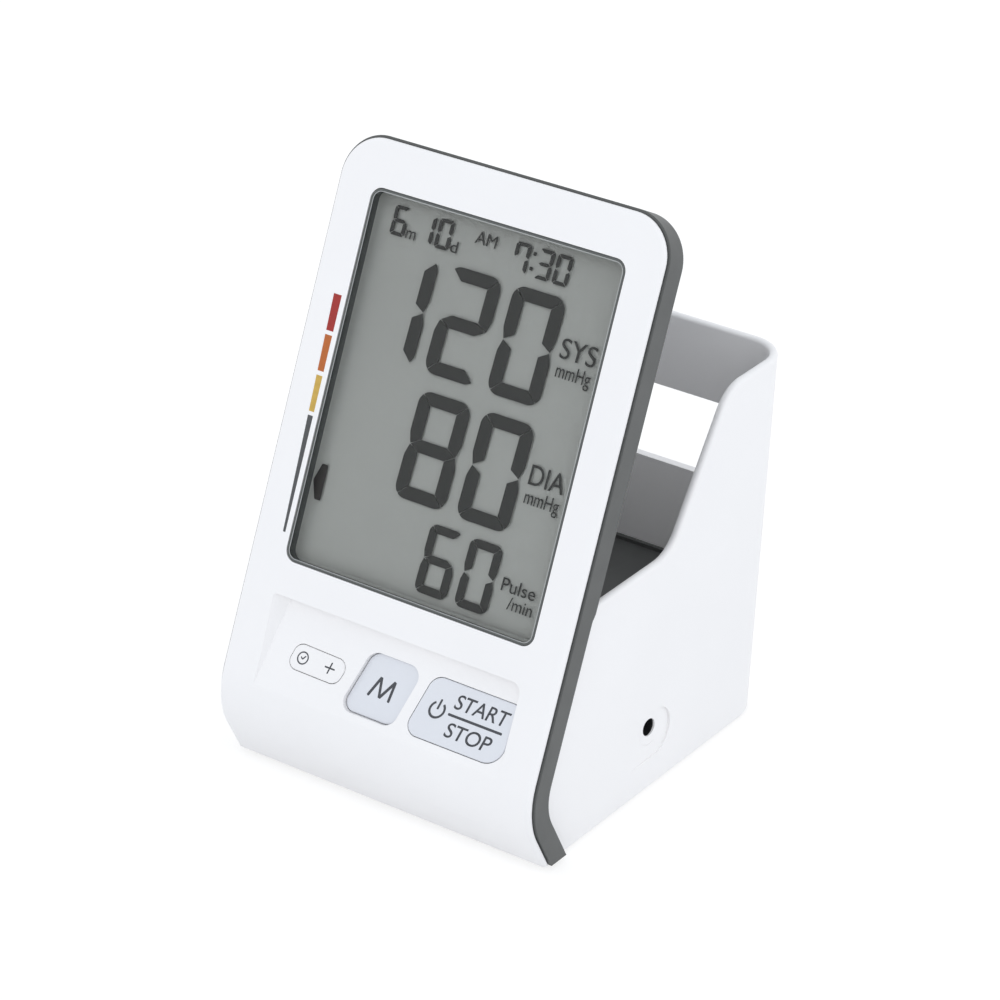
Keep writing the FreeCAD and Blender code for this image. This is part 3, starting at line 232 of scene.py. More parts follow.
def at(u, v):
    """Moves artwork to a spot given in millimetres."""
    return Matrix.Translation((u * MM, v * MM, 0.0))


def slanted(amount):
    """Leans artwork to the right by a share of its height."""
    lean = Matrix.Identity(4)
    lean[0][1] = amount
    return lean


# ---------------------------------------------------------------- making pieces
MERGE_DISTANCE = 1e-7
LETTER_MERGE_DISTANCE = 1e-5
CUT_TOLERANCE = 1e-9
CORNER_STEPS = 10
RING_STEPS = 48
STROKE_ROUNDING = 0.35
PRINT_THICKNESS = 0.06 * MM
# Crossing strokes differ in thickness, so that no two faces share a plane.
CROSSING_THICKNESS = PRINT_THICKNESS * 1.2
CROSSING_STEP = 0.004 * MM
# Height of the built-in letters' capitals at a size of 1.
CAPITAL_HEIGHT = 0.682


def add_piece(name, bm, place, material, body):
    """Turns a finished bmesh into a piece that rides a body."""
    bmesh.ops.transform(bm, matrix=place, verts=bm.verts)
    bmesh.ops.remove_doubles(bm, verts=bm.verts, dist=MERGE_DISTANCE)
    bmesh.ops.recalc_face_normals(bm, faces=bm.faces)
    mesh = bpy.data.meshes.new(name)
    bm.to_mesh(mesh)
    bm.free()
    mesh.materials.append(material)
    piece = bpy.data.objects.new(name, mesh)
    bpy.context.scene.collection.objects.link(piece)
    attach(piece, body)


def thicken(bm, thickness):
    """Gives flat faces a thickness, half of it above and half below their plane."""
    made = bmesh.ops.extrude_face_region(bm, geom=bm.faces[:])
    raised = [item for item in made["geom"] if isinstance(item, bmesh.types.BMVert)]
    bmesh.ops.translate(bm, vec=(0.0, 0.0, thickness), verts=raised)
    bmesh.ops.translate(bm, vec=(0.0, 0.0, -thickness / 2), verts=bm.verts)
    bmesh.ops.recalc_face_normals(bm, faces=bm.faces)


def join_into(target, part):
    """Adds one bmesh to another and frees it."""
    mesh = bpy.data.meshes.new("part")
    part.to_mesh(mesh)
    part.free()
    target.from_mesh(mesh)
    bpy.data.meshes.remove(mesh)


def plate(half_width, half_height, corner):
    """Flat plate with rounded corners, centred on the origin."""
    bm = bmesh.new()
    bmesh.ops.create_grid(bm, x_segments=1, y_segments=1, size=1.0)
    bmesh.ops.scale(bm, vec=(half_width, half_height, 1.0), verts=bm.verts)
    if corner > 0:
        bmesh.ops.bevel(
            bm,
            geom=bm.verts[:],
            offset=corner,
            affect="VERTICES",
            segments=CORNER_STEPS,
            profile=0.5,
            material=-1,
        )
    return bm


def cut_away(bm, point, outward):
    """Cuts off what lies beyond a line through a point, on the side its outward direction faces."""
    bmesh.ops.bisect_plane(
        bm,
        geom=bm.verts[:] + bm.edges[:] + bm.faces[:],
        dist=CUT_TOLERANCE,
        plane_co=(point[0], point[1], 0.0),
        plane_no=(outward[0], outward[1], 0.0),
        clear_outer=True,
    )


def stroke(start, end, width):
    """Straight line of print from one spot to another, flat in its plane."""
    run = Vector(end) - Vector(start)
    bm = plate(run.length / 2, width / 2, width * STROKE_ROUNDING)
    middle = (Vector(start) + Vector(end)) / 2
    heading = Matrix.Rotation(math.atan2(run.y, run.x), 4, "Z")
    place = Matrix.Translation((middle.x, middle.y, 0.0)) @ heading
    bmesh.ops.transform(bm, matrix=place, verts=bm.verts)
    return bm


def ring(radius, width, opening):
    """Flat ring of print round the origin, with an opening at its top."""
    bm = bmesh.new()
    first = bm.verts.new((0.0, radius - width / 2, 0.0))
    second = bm.verts.new((0.0, radius + width / 2, 0.0))
    edge = bm.edges.new((first, second))
    half_opening = Matrix.Rotation(opening / 2, 3, "Z")
    bmesh.ops.rotate(bm, verts=bm.verts, cent=(0, 0, 0), matrix=half_opening)
    bmesh.ops.spin(
        bm,
        geom=[first, second, edge],
        cent=(0, 0, 0),
        axis=(0, 0, 1),
        angle=2 * math.pi - opening,
        steps=RING_STEPS,
        use_merge=opening == 0,
    )
    return bm


def lettering(text, height, width, shear, weight):
    """Flat word from the origin to the right, fitted to a height of capitals and a width."""
    curve = bpy.data.curves.new("word", "FONT")
    curve.body = text
    curve.size = 1.0
    curve.offset = weight
    curve.fill_mode = "FRONT"
    holder = bpy.data.objects.new("word", curve)
    bpy.context.scene.collection.objects.link(holder)
    bpy.context.view_layer.update()
    flat = holder.evaluated_get(bpy.context.evaluated_depsgraph_get()).to_mesh()
    bm = bmesh.new()
    bm.from_mesh(flat)
    holder.to_mesh_clear()
    bpy.data.objects.remove(holder)
    bpy.data.curves.remove(curve)
    bmesh.ops.remove_doubles(bm, verts=bm.verts, dist=LETTER_MERGE_DISTANCE)
    low = min(vertex.co.x for vertex in bm.verts)
    high = max(vertex.co.x for vertex in bm.verts)
    stretch = (width / (high - low), height / CAPITAL_HEIGHT, 1.0)
    bmesh.ops.translate(bm, vec=(-low, 0.0, 0.0), verts=bm.verts)
    bmesh.ops.scale(bm, vec=stretch, verts=bm.verts)
    bmesh.ops.transform(bm, matrix=slanted(shear), verts=bm.verts)
    return bm


# ---------------------------------------------------------------- finishes
# A noise seldom leaves this range.
NOISE_LOW = 0.3
NOISE_HIGH = 0.7
BLACK_PLASTIC = (0.014, 0.014, 0.015)
CHARCOAL = (0.030, 0.030, 0.032)
NEARLY_BLACK = (0.02, 0.02, 0.02)


def new_finish(name):
    """Empty material with its surface shader, and the object coordinates that patterns follow."""
    material = bpy.data.materials.new(name)
    material.use_nodes = True
    tree = material.node_tree
    tree.nodes.clear()
    output = tree.nodes.new("ShaderNodeOutputMaterial")
    shader = tree.nodes.new("ShaderNodeBsdfPrincipled")
    tree.links.new(shader.outputs["BSDF"], output.inputs["Surface"])
    place = tree.nodes.new("ShaderNodeTexCoord")
    return material, tree, shader, place.outputs["Object"]


def noise(tree, where, size, detail=2.0):
    """Noise with spots of about a size in metres."""
    texture = tree.nodes.new("ShaderNodeTexNoise")
    texture.inputs["Scale"].default_value = 1.0 / size
    texture.inputs["Detail"].default_value = detail
    tree.links.new(where, texture.inputs["Vector"])
    return texture.outputs["Fac"]


def tinted(value, amount):
    """A colour made lighter or darker by a factor."""
    return tuple(min(1.0, channel * amount) for channel in value)


def set_tone(tree, shader, pattern, base, dark, light):
    """Colours the surface between a darker and a lighter tone of its base, by a noise."""
    ramp = tree.nodes.new("ShaderNodeValToRGB")
    ramp.color_ramp.elements[0].position = NOISE_LOW
    ramp.color_ramp.elements[1].position = NOISE_HIGH
    ramp.color_ramp.elements[0].color = (*tinted(base, dark), 1.0)
    ramp.color_ramp.elements[1].color = (*tinted(base, light), 1.0)
    tree.links.new(pattern, ramp.inputs["Fac"])
    tree.links.new(ramp.outputs["Color"], shader.inputs["Base Color"])


def set_gloss(tree, shader, pattern, low, high):
    """Varies the roughness between two values, by a noise."""
    ranged = tree.nodes.new("ShaderNodeMapRange")
    ranged.inputs["From Min"].default_value = NOISE_LOW
    ranged.inputs["From Max"].default_value = NOISE_HIGH
    ranged.inputs["To Min"].default_value = low
    ranged.inputs["To Max"].default_value = high
    tree.links.new(pattern, ranged.inputs["Value"])
    tree.links.new(ranged.outputs["Result"], shader.inputs["Roughness"])


def add_bump(tree, shader, pattern, distance, strength):
    """Relief of a real depth on the surface."""
    bump = tree.nodes.new("ShaderNodeBump")
    bump.inputs["Distance"].default_value = distance
    bump.inputs["Strength"].default_value = strength
    tree.links.new(pattern, bump.inputs["Height"])
    tree.links.new(bump.outputs["Normal"], shader.inputs["Normal"])


def moulded(name, base, rough, grain=0.0006, relief=0.000012, drift=0.985):
    """Moulded plastic: a fine spark-eroded grain, slow drift in tone and uneven gloss."""
    material, tree, shader, where = new_finish(name)
    set_tone(tree, shader, noise(tree, where, size=0.03), base, dark=drift, light=1.0)
    set_gloss(tree, shader, noise(tree, where, size=0.008, detail=4.0), rough - 0.05, rough + 0.05)
    shader.inputs["IOR"].default_value = 1.5
    add_bump(tree, shader, noise(tree, where, grain, detail=3.0), relief, strength=0.6)
    return material


def polished(name, base, rough):
    """Glossy plastic with only the faint waviness of a polished mould."""
    material, tree, shader, where = new_finish(name)
    set_tone(tree, shader, noise(tree, where, size=0.02), base, dark=0.96, light=1.0)
    set_gloss(tree, shader, noise(tree, where, size=0.004, detail=3.0), rough - 0.03, rough + 0.04)
    add_bump(tree, shader, noise(tree, where, size=0.006), distance=0.00002, strength=0.3)
    return material


def rubber(name, base):
    """Matt elastomer with a dusty, slightly uneven face."""
    material, tree, shader, where = new_finish(name)
    set_tone(tree, shader, noise(tree, where, size=0.004, detail=5.0), base, dark=0.75, light=1.2)
    set_gloss(tree, shader, noise(tree, where, size=0.002), low=0.72, high=0.88)
    dust = noise(tree, where, size=0.0008, detail=4.0)
    add_bump(tree, shader, dust, distance=0.00003, strength=0.6)
    return material


def metal(name, base, rough, along):
    """Drawn or plated metal, with its marks stretched along one axis."""
    material, tree, shader, where = new_finish(name)
    mapping = tree.nodes.new("ShaderNodeMapping")
    mapping.inputs["Scale"].default_value = along
    tree.links.new(where, mapping.inputs["Vector"])
    marks = noise(tree, mapping.outputs["Vector"], size=0.0006, detail=4.0)
    set_tone(tree, shader, marks, base, dark=0.86, light=1.06)
    shader.inputs["Metallic"].default_value = 1.0
    set_gloss(tree, shader, marks, rough - 0.07, rough + 0.08)
    add_bump(tree, shader, marks, distance=0.00001, strength=0.4)
    return material


def print_ink(name, base):
    """Screen-printed ink: even and a little matt, with a faintly uneven film."""
    material, tree, shader, where = new_finish(name)
    set_tone(tree, shader, noise(tree, where, size=0.0015, detail=4.0), base, dark=0.92, light=1.06)
    set_gloss(tree, shader, noise(tree, where, size=0.001), low=0.42, high=0.55)
    add_bump(tree, shader, noise(tree, where, size=0.0003), distance=0.000004, strength=0.5)
    return material


def clear_cover(name, base, opaque):
    """Clear hard-coated sheet, of which a small share stays opaque."""
    material, tree, shader, where = new_finish(name)
    set_tone(tree, shader, noise(tree, where, size=0.04), base, dark=0.97, light=1.0)
    set_gloss(tree, shader, noise(tree, where, size=0.01), low=0.03, high=0.07)
    shader.inputs["Alpha"].default_value = opaque
    shader.inputs["IOR"].default_value = 1.49
    return material


def display_film(name, base):
    """Reflective polariser under the display glass, with its fine sparkle."""
    material, tree, shader, where = new_finish(name)
    set_tone(tree, shader, noise(tree, where, size=0.05), base, dark=0.97, light=1.02)
    set_gloss(tree, shader, noise(tree, where, size=0.0004, detail=3.0), low=0.48, high=0.62)
    sparkle = noise(tree, where, size=0.00025, detail=3.0)
    add_bump(tree, shader, sparkle, distance=0.000004, strength=0.5)
    return material


def circuit_board(name):
    """Green solder mask over copper runs."""
    material, tree, shader, where = new_finish(name)
    runs = tree.nodes.new("ShaderNodeTexBrick")
    runs.inputs["Scale"].default_value = 160.0
    runs.inputs["Mortar Size"].default_value = 0.03
    runs.inputs["Color1"].default_value = (0.010, 0.115, 0.045, 1.0)
    runs.inputs["Color2"].default_value = (0.012, 0.130, 0.052, 1.0)
    runs.inputs["Mortar"].default_value = (0.020, 0.190, 0.080, 1.0)
    tree.links.new(where, runs.inputs["Vector"])
    tree.links.new(runs.outputs["Color"], shader.inputs["Base Color"])
    set_gloss(tree, shader, noise(tree, where, size=0.002), low=0.28, high=0.40)
    add_bump(tree, shader, runs.outputs["Fac"], distance=0.00002, strength=0.5)
    return material


def cell_wrap(name, low, high):
    """Printed sleeve of a dry cell: a dark body with a bright band at its end."""
    material, tree, shader, where = new_finish(name)
    parts = tree.nodes.new("ShaderNodeSeparateXYZ")
    tree.links.new(where, parts.inputs["Vector"])
    along = tree.nodes.new("ShaderNodeMapRange")
    along.inputs["From Min"].default_value = low
    along.inputs["From Max"].default_value = high
    tree.links.new(parts.outputs["Y"], along.inputs["Value"])
    bands = tree.nodes.new("ShaderNodeValToRGB")
    bands.color_ramp.interpolation = "CONSTANT"
    bands.color_ramp.elements[0].color = (0.028, 0.030, 0.034, 1.0)
    bands.color_ramp.elements[1].position = 0.70
    bands.color_ramp.elements[1].color = (0.560, 0.300, 0.070, 1.0)
    tree.links.new(along.outputs["Result"], bands.inputs["Fac"])
    tree.links.new(bands.outputs["Color"], shader.inputs["Base Color"])
    set_gloss(tree, shader, noise(tree, where, size=0.003), low=0.22, high=0.34)
    add_bump(tree, shader, noise(tree, where, size=0.001), distance=0.00001, strength=0.3)
    return material


def dress(material, *names):
    """Gives CAD nodes a finish."""
    for name in names:
        mesh = nodes[name].data
        mesh.materials.clear()
        mesh.materials.append(material)


# ---------------------------------------------------------------- segment digits
# How the upper left post and the top bar are flipped to make the others.
POSTS = {
    "upper_left": (1, 1),
    "upper_right": (-1, 1),
    "lower_left": (1, -1),
    "lower_right": (-1, -1),
}
BARS = {"top": (1, 1), "bottom": (1, -1)}
LIT = {
    "0": ("top", "upper_left", "upper_right", "lower_left", "lower_right", "bottom"),
    "1": ("upper_right", "lower_right"),
    "2": ("top", "upper_right", "middle", "lower_left", "bottom"),
    "3": ("top", "upper_right", "middle", "lower_right", "bottom"),
    "4": ("upper_left", "upper_right", "middle", "lower_right"),
    "5": ("top", "upper_left", "middle", "lower_right", "bottom"),
    "6": ("top", "upper_left", "middle", "lower_left", "lower_right", "bottom"),
    "7": ("top", "upper_left", "upper_right", "lower_right"),
    "8": ("top", "upper_left", "upper_right", "middle", "lower_left", "lower_right", "bottom"),
    "9": ("top", "upper_left", "upper_right", "middle", "lower_right", "bottom"),
}
# Widths of the strokes and the shape of the waist, as shares of a digit's width or height.
POST_SHARE = 0.24
BAR_SHARE = 0.124
MIDDLE_SHARE = 0.060
WAIST_SHARE = 0.060
WAIST_RISE = 0.110
CORNER_SHARE = 0.125


def segment(kind, width, height, gap):
    """One flat segment of a digit that is centred on the origin."""
    half_width = width / 2
    half_height = height / 2
    post = width * POST_SHARE
    bar = height * BAR_SHARE
    middle = height * MIDDLE_SHARE
    waist = width * WAIST_SHARE
    rise = height * WAIST_RISE
    bm = plate(half_width, half_height, height * CORNER_SHARE)
    mitre = Vector((bar, post)).normalized()
    tip = Vector((middle, -(post - waist))).normalized()
    corner = Vector((-half_width, half_height))
    end = Vector((waist - half_width, 0.0))
    if kind == "middle":
        for side in (-1, 1):
            cut_away(bm, (0.0, side * middle), (0.0, side))
            for lift in (-1, 1):
                away = Vector((side * tip.x, lift * tip.y))
                cut_away(bm, Vector((-side * end.x, 0.0)) - away * gap / 2, away)
        return bm
    if kind in BARS:
        cut_away(bm, (0.0, half_height - bar), (0.0, -1.0))
        for side in (-1, 1):
            away = Vector((side * mitre.x, -mitre.y))
            cut_away(bm, Vector((side * half_width, half_height)) - away * gap / 2, away)
        flips = BARS[kind]
    else:
        cut_away(bm, (post - half_width, 0.0), (1.0, 0.0))
        cut_away(bm, corner - mitre * gap / 2, mitre)
        cut_away(bm, end - tip * gap / 2, tip)
        outer = Vector((-rise, -waist)).normalized()
        cut_away(bm, end, outer)
        flips = POSTS[kind]
    bmesh.ops.scale(bm, vec=(flips[0], flips[1], 1.0), verts=bm.verts)
    return bm


def digits(text, width, height, pitch):
    """Flat row of segment digits, with its last digit centred on the origin. A space stays dark."""
    reading = bpy.context.scene.monitor_reading
    bm = bmesh.new()
    for index, character in enumerate(text):
        step = (index - len(text) + 1) * pitch
        place = Matrix.Translation((step, 0.0, 0.0)) @ slanted(reading.slant)
        for kind in LIT.get(character, ()):
            part = segment(kind, width, height, reading.gap)
            bmesh.ops.transform(part, matrix=place, verts=part.verts)
            join_into(bm, part)
    return bm


def colon():
    """The two dots between the hour and the minutes."""
    half_side = 0.5 * MM
    rounding = 0.3 * MM
    slant = bpy.context.scene.monitor_reading.slant
    bm = bmesh.new()
    for rise in (-2.0 * MM, 2.0 * MM):
        dot = plate(half_side, half_side, rounding)
        bmesh.ops.translate(dot, vec=(rise * slant, rise, 0.0), verts=dot.verts)
        join_into(bm, dot)
    return bm


# ---------------------------------------------------------------- operators
class MONITOR_OT_shell_finishes(bpy.types.Operator):
    """Gives the white and dark mouldings, the feet and the screws their finishes"""

    bl_idname = "monitor.shell_finishes"
    bl_label = "Shell Finishes"

    def execute(self, context):
        finish = context.scene.monitor_finish
        white = moulded("white_shell", finish.shell, rough=0.40)
        dress(white, "front_cover", "cradle_left_wall", "cradle_right_wall", "cradle_rear")
        dress(white, "base_plate", "battery_cover")
        band = moulded("dark_band", finish.band, rough=0.46, grain=0.0007, relief=0.00002, drift=0.95)
        dress(band, "rear_shell")
        dress(rubber("foot_rubber", CHARCOAL), "foot_1", "foot_2", "foot_3", "foot_4")
        steel = metal("screw_steel", (0.52, 0.51, 0.49), rough=0.34, along=(1.0, 1.0, 0.1))
        dress(steel, "case_screws", "board_screws", "base_screws")
        return {"FINISHED"}


class MONITOR_OT_key_finishes(bpy.types.Operator):
    """Gives the keys and the switches under them their finishes"""

    bl_idname = "monitor.key_finishes"
    bl_label = "Key Finishes"

    def execute(self, context):
        finish = context.scene.monitor_finish
        pale = moulded("pale_key", finish.key, rough=0.36, grain=0.0005, relief=0.000006)
        dress(pale, "start_stop_key", "memory_key")
        cap = tinted(finish.shell, 0.99)
        white = moulded("white_key", cap, rough=0.38, grain=0.0005, relief=0.000006)
        dress(white, "time_plus_key")
        dress(polished("switch_housing", CHARCOAL, rough=0.38), "key_switches")
        button = polished("switch_button", (0.060, 0.060, 0.062), rough=0.34)
        dress(button, "start_stop_switch_button", "memory_switch_button")
        return {"FINISHED"}


class MONITOR_OT_display_finishes(bpy.types.Operator):
    """Gives the lens, the display and its holder their finishes"""

    bl_idname = "monitor.display_finishes"
    bl_label = "Display Finishes"

    def execute(self, context):
        finish = context.scene.monitor_finish
        dress(clear_cover("clear_lens", NEARLY_BLACK, opaque=0.05), "display_lens")
        dress(moulded("display_holder", finish.inside, rough=0.42), "display_frame")
        dress(display_film("display_film", finish.display), "lcd_panel")
        dress(polished("reflector_sheet", (0.62, 0.64, 0.63), rough=0.25), "lcd_reflector")
        dress(rubber("zebra_strip", (0.42, 0.12, 0.14)), "lcd_connector")
        return {"FINISHED"}


class MONITOR_OT_inside_finishes(bpy.types.Operator):
    """Gives the board, the pump, the tubes and the battery bay their finishes"""

    bl_idname = "monitor.inside_finishes"
    bl_label = "Inside Finishes"

    def execute(self, context):
        dress(circuit_board("solder_mask"), "main_board")
        dress(polished("chip_resin", (0.018, 0.018, 0.020), rough=0.45), "board_chips", "buzzer")
        dress(polished("sensor_body", (0.52, 0.50, 0.44), rough=0.40), "pressure_sensor")
        dress(polished("black_plastic", BLACK_PLASTIC, rough=0.36), "dc_jack")
        grey = moulded("inner_plastic", (0.36, 0.37, 0.38), rough=0.48)
        dress(grey, "battery_tray", "pump_bracket", "air_manifold", "socket_supports")
        pale = moulded("pump_plastic", (0.70, 0.71, 0.70), rough=0.42)
        dress(pale, "pump_head", "air_socket", "exhaust_valve")
        can = metal("motor_can", (0.56, 0.56, 0.55), rough=0.30, along=(0.08, 1.0, 1.0))
        dress(can, "pump_motor")
        steel = metal("rotor_steel", (0.44, 0.40, 0.36), rough=0.38, along=(1.0, 0.2, 0.2))
        dress(steel, "pump_rotor")
        nickel = metal("contact_nickel", (0.63, 0.61, 0.56), rough=0.26, along=(1.0, 1.0, 0.15))
        dress(nickel, "battery_contact_plates", "battery_contact_springs", "dc_jack_pin")
        silicone = rubber("tube_silicone", (0.50, 0.51, 0.50))
        dress(silicone, "pump_tube", "socket_tube", "sensor_tube")
        low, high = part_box("battery_1")
        sleeve = cell_wrap("cell_sleeve", low.y, high.y)
        dress(sleeve, "battery_1", "battery_2", "battery_3", "battery_4")
        return {"FINISHED"}


class MONITOR_OT_display_glass(bpy.types.Operator):
    """Lays the display's front glass on its film"""

    bl_idname = "monitor.display_glass"
    bl_label = "Display Glass"

    def execute(self, context):
        panel = context.scene.monitor_panel
        reading = context.scene.monitor_reading
        bm = plate(reading.glass_width / 2, reading.glass_height / 2, reading.glass_corner)
        thicken(bm, reading.glass)
        place = on_window(panel.display_face + reading.glass / 2)
        glass = clear_cover("display_glass", NEARLY_BLACK, opaque=0.02)
        add_piece("display_glass", bm, place, glass, CASE)
        return {"FINISHED"}


class MONITOR_OT_lens_edge(bpy.types.Operator):
    """Adds the ground edge of the lens, a thin frosted line just inside its holder"""

    bl_idname = "monitor.lens_edge"
    bl_label = "Lens Edge"

    def execute(self, context):
        panel = context.scene.monitor_panel
        bm = plate(panel.window_width / 2, panel.window_height / 2, panel.window_corner)
        rim = bmesh.ops.inset_region(
            bm, faces=bm.faces[:], thickness=panel.lens_line, use_boundary=True, use_even_offset=True
        )
        middle = [face for face in bm.faces if face not in rim["faces"]]
        bmesh.ops.delete(bm, geom=middle, context="FACES_ONLY")
        thicken(bm, panel.lens_line_depth)
        ground = polished("ground_edge", (0.48, 0.49, 0.49), rough=0.45)
        add_piece("lens_edge", bm, on_window(panel.lens_face), ground, CASE)
        return {"FINISHED"}


class MONITOR_OT_plug_liner(bpy.types.Operator):
    """Lines the plug hole with the thin black nose of the power jack"""

    bl_idname = "monitor.plug_liner"
    bl_label = "Plug Liner"

    def execute(self, context):
        panel = context.scene.monitor_panel
        radius = panel.socket_radius - panel.liner_wall / 2 - panel.liner_clearance
        bm = ring(radius, panel.liner_wall, opening=0.0)
        thicken(bm, panel.socket_length)
        place = (
            Matrix.Translation((panel.socket_x, panel.socket_y, panel.socket_z))
            @ Matrix.Rotation(math.pi / 2, 4, "Y")
        )
        liner = polished("liner_plastic", BLACK_PLASTIC, rough=0.36)
        add_piece("plug_liner", bm, place, liner, CASE)
        return {"FINISHED"}


class MONITOR_OT_reading_digits(bpy.types.Operator):
    """Draws the pressure, pulse, date and time digits on the display glass"""

    bl_idname = "monitor.reading_digits"
    bl_label = "Reading Digits"

    def execute(self, context):
        reading = context.scene.monitor_reading
        lit = print_ink("lit_segment", context.scene.monitor_finish.segment)
        face = on_glass()
        big = (reading.digit_width, reading.digit_height, reading.digit_pitch)
        middle = (reading.pulse_width, reading.pulse_height, reading.pulse_pitch)
        small = (reading.clock_width, reading.clock_height, reading.clock_pitch)
        pressure_column = 16.07
        date_row = 161.7
        # Each row has its name, text, sizes and the middle of its last digit.
        rows = (
            ("systolic_digits", reading.systolic, big, (pressure_column, 140.0)),
            ("diastolic_digits", reading.diastolic, big, (pressure_column, 105.85)),
            ("pulse_digits", reading.pulse, middle, (18.77, 78.05)),
            ("month_digits", reading.month, small, (-31.77, date_row)),
            ("day_digits", reading.day, small, (-17.02, date_row)),
            ("hour_digits", reading.hour, small, (8.06, date_row)),
            ("minute_digits", reading.minute, small, (21.31, date_row)),
        )
        for name, text, sizes, spot in rows:
            bm = digits(text, *sizes)
            thicken(bm, PRINT_THICKNESS)
            add_piece(name, bm, face @ at(*spot), lit, CASE)
        bm = colon()
        thicken(bm, PRINT_THICKNESS)
        add_piece("clock_colon", bm, face @ at(11.85, 161.75), lit, CASE)
        return {"FINISHED"}


class MONITOR_OT_reading_words(bpy.types.Operator):
    """Draws the units and labels beside the digits"""

    bl_idname = "monitor.reading_words"
    bl_label = "Reading Words"

    def execute(self, context):
        lit = print_ink("lit_word", tinted(context.scene.monitor_finish.segment, 1.15))
        face = on_glass()
        # Each word has its name, text, height of capitals, width and lower left corner.
        words = (
            ("word_am", "AM", 3.3, 6.8, (-7.2, 161.95)),
            ("word_month", "m", 3.4, 3.1, (-29.0, 157.75)),
            ("word_day", "d", 3.1, 2.3, (-14.3, 157.75)),
            ("word_sys", "SYS", 5.35, 11.15, (26.45, 139.75)),
            ("word_sys_unit", "mmHg", 3.75, 10.75, (26.65, 134.7)),
            ("word_dia", "DIA", 5.35, 11.0, (26.55, 105.65)),
            ("word_dia_unit", "mmHg", 3.75, 10.75, (26.65, 100.55)),
            ("word_pulse", "Pulse", 3.55, 10.7, (26.3, 76.7)),
            ("word_per_minute", "/min", 3.3, 7.8, (29.4, 72.4)),
        )
        for name, text, height, width, spot in words:
            bm = lettering(text, height * MM, width * MM, shear=0.03, weight=0.0)
            thicken(bm, PRINT_THICKNESS)
            add_piece(name, bm, face @ at(*spot), lit, CASE)
        return {"FINISHED"}


class MONITOR_OT_range_pointer(bpy.types.Operator):
    """Draws the pointer that marks the range of the reading"""

    bl_idname = "monitor.range_pointer"
    bl_label = "Range Pointer"

    def execute(self, context):
        half_width = 1.85
        half_height = 4.95
        point_depth = 1.75
        bm = plate(half_width * MM, half_height * MM, corner=0.0)
        for side in (-1, 1):
            away = Vector((-half_height, side * point_depth)).normalized()
            cut_away(bm, (-half_width * MM, 0.0), away)
        thicken(bm, PRINT_THICKNESS)
        ink = print_ink("pointer_ink", (0.010, 0.008, 0.008))
        add_piece("range_pointer", bm, on_glass() @ at(-37.65, 87.9), ink, CASE)
        return {"FINISHED"}


class MONITOR_OT_range_scale(bpy.types.Operator):
    """Prints the range scale beside the window: three blocks and a tapering line"""

    bl_idname = "monitor.range_scale"
    bl_label = "Range Scale"

    def execute(self, context):
        finish = context.scene.monitor_finish
        place = on_panel(context.scene.monitor_panel.cover_face) @ at(-43.7, 0.0)
        half_width = 1.32
        half_height = 33.1
        middle = 105.25
        taper = 1.85
        away = Vector((-2 * half_height, -taper)).normalized()
        # Each block has its name, colour, lower end and upper end.
        blocks = (
            ("range_high", finish.high, 128.2, 138.3),
            ("range_raised", finish.raised, 117.05, 127.05),
            ("range_warm", finish.warm, 105.85, 115.85),
            ("range_normal", finish.normal, 72.25, 104.75),
        )
        for name, ink, low, high in blocks:
            bm = plate(half_width * MM, half_height * MM, corner=0.0)
            cut_away(bm, (-half_width * MM, half_height * MM), away)
            bmesh.ops.translate(bm, vec=(0.0, middle * MM, 0.0), verts=bm.verts)
            cut_away(bm, (0.0, high * MM), (0.0, 1.0))
            cut_away(bm, (0.0, low * MM), (0.0, -1.0))
            thicken(bm, PRINT_THICKNESS)
            add_piece(name, bm, place, print_ink(name, ink), CASE)
        return {"FINISHED"}


def print_on_key(name, bm, place, ink, body, thickness=PRINT_THICKNESS):
    """Thickens flat print and lays it on the key that its body moves."""
    thicken(bm, thickness)
    add_piece(name, bm, place, ink, body)


def print_memory_key(ink, top):
    """The letter M, as four slanting strokes from corner to corner."""
    corners = ((-5.70, 37.65), (-2.90, 43.45), (-2.00, 37.95), (1.70, 43.45), (1.15, 37.65))
    width = 0.80 * MM
    bm = bmesh.new()
    for index in range(len(corners) - 1):
        low, high = (Vector(corner) * MM for corner in corners[index:index + 2])
        line = stroke(low, high, width)
        thicken(line, PRINT_THICKNESS + index * CROSSING_STEP)
        join_into(bm, line)
    add_piece("memory_letter", bm, top, ink, "memory")


def print_start_stop_key(ink, top):
    """The two words with the line between them, and the power sign."""
    capitals = 3.95 * MM
    for name, text, width, spot in (
        ("start_word", "START", 16.8, (21.85, 42.86)),
        ("stop_word", "STOP", 14.4, (21.35, 35.06)),
    ):
        bm = lettering(text, capitals, width * MM, shear=0.24, weight=0.006)
        print_on_key(name, bm, top @ at(*spot), ink, "start_stop")

    line_left = 20.95 * MM
    line_right = 38.5 * MM
    line_height = 40.9 * MM
    bm = stroke((line_left, line_height), (line_right, line_height), 0.70 * MM)
    print_on_key("start_stop_line", bm, top, ink, "start_stop")

    bm = ring(2.2 * MM, 0.66 * MM, opening=math.radians(70.0))
    join_into(bm, stroke((0.0, 0.1 * MM), (0.0, 3.05 * MM), 0.62 * MM))
    print_on_key("power_sign", bm, top @ at(17.3, 40.96) @ slanted(0.22), ink, "start_stop")


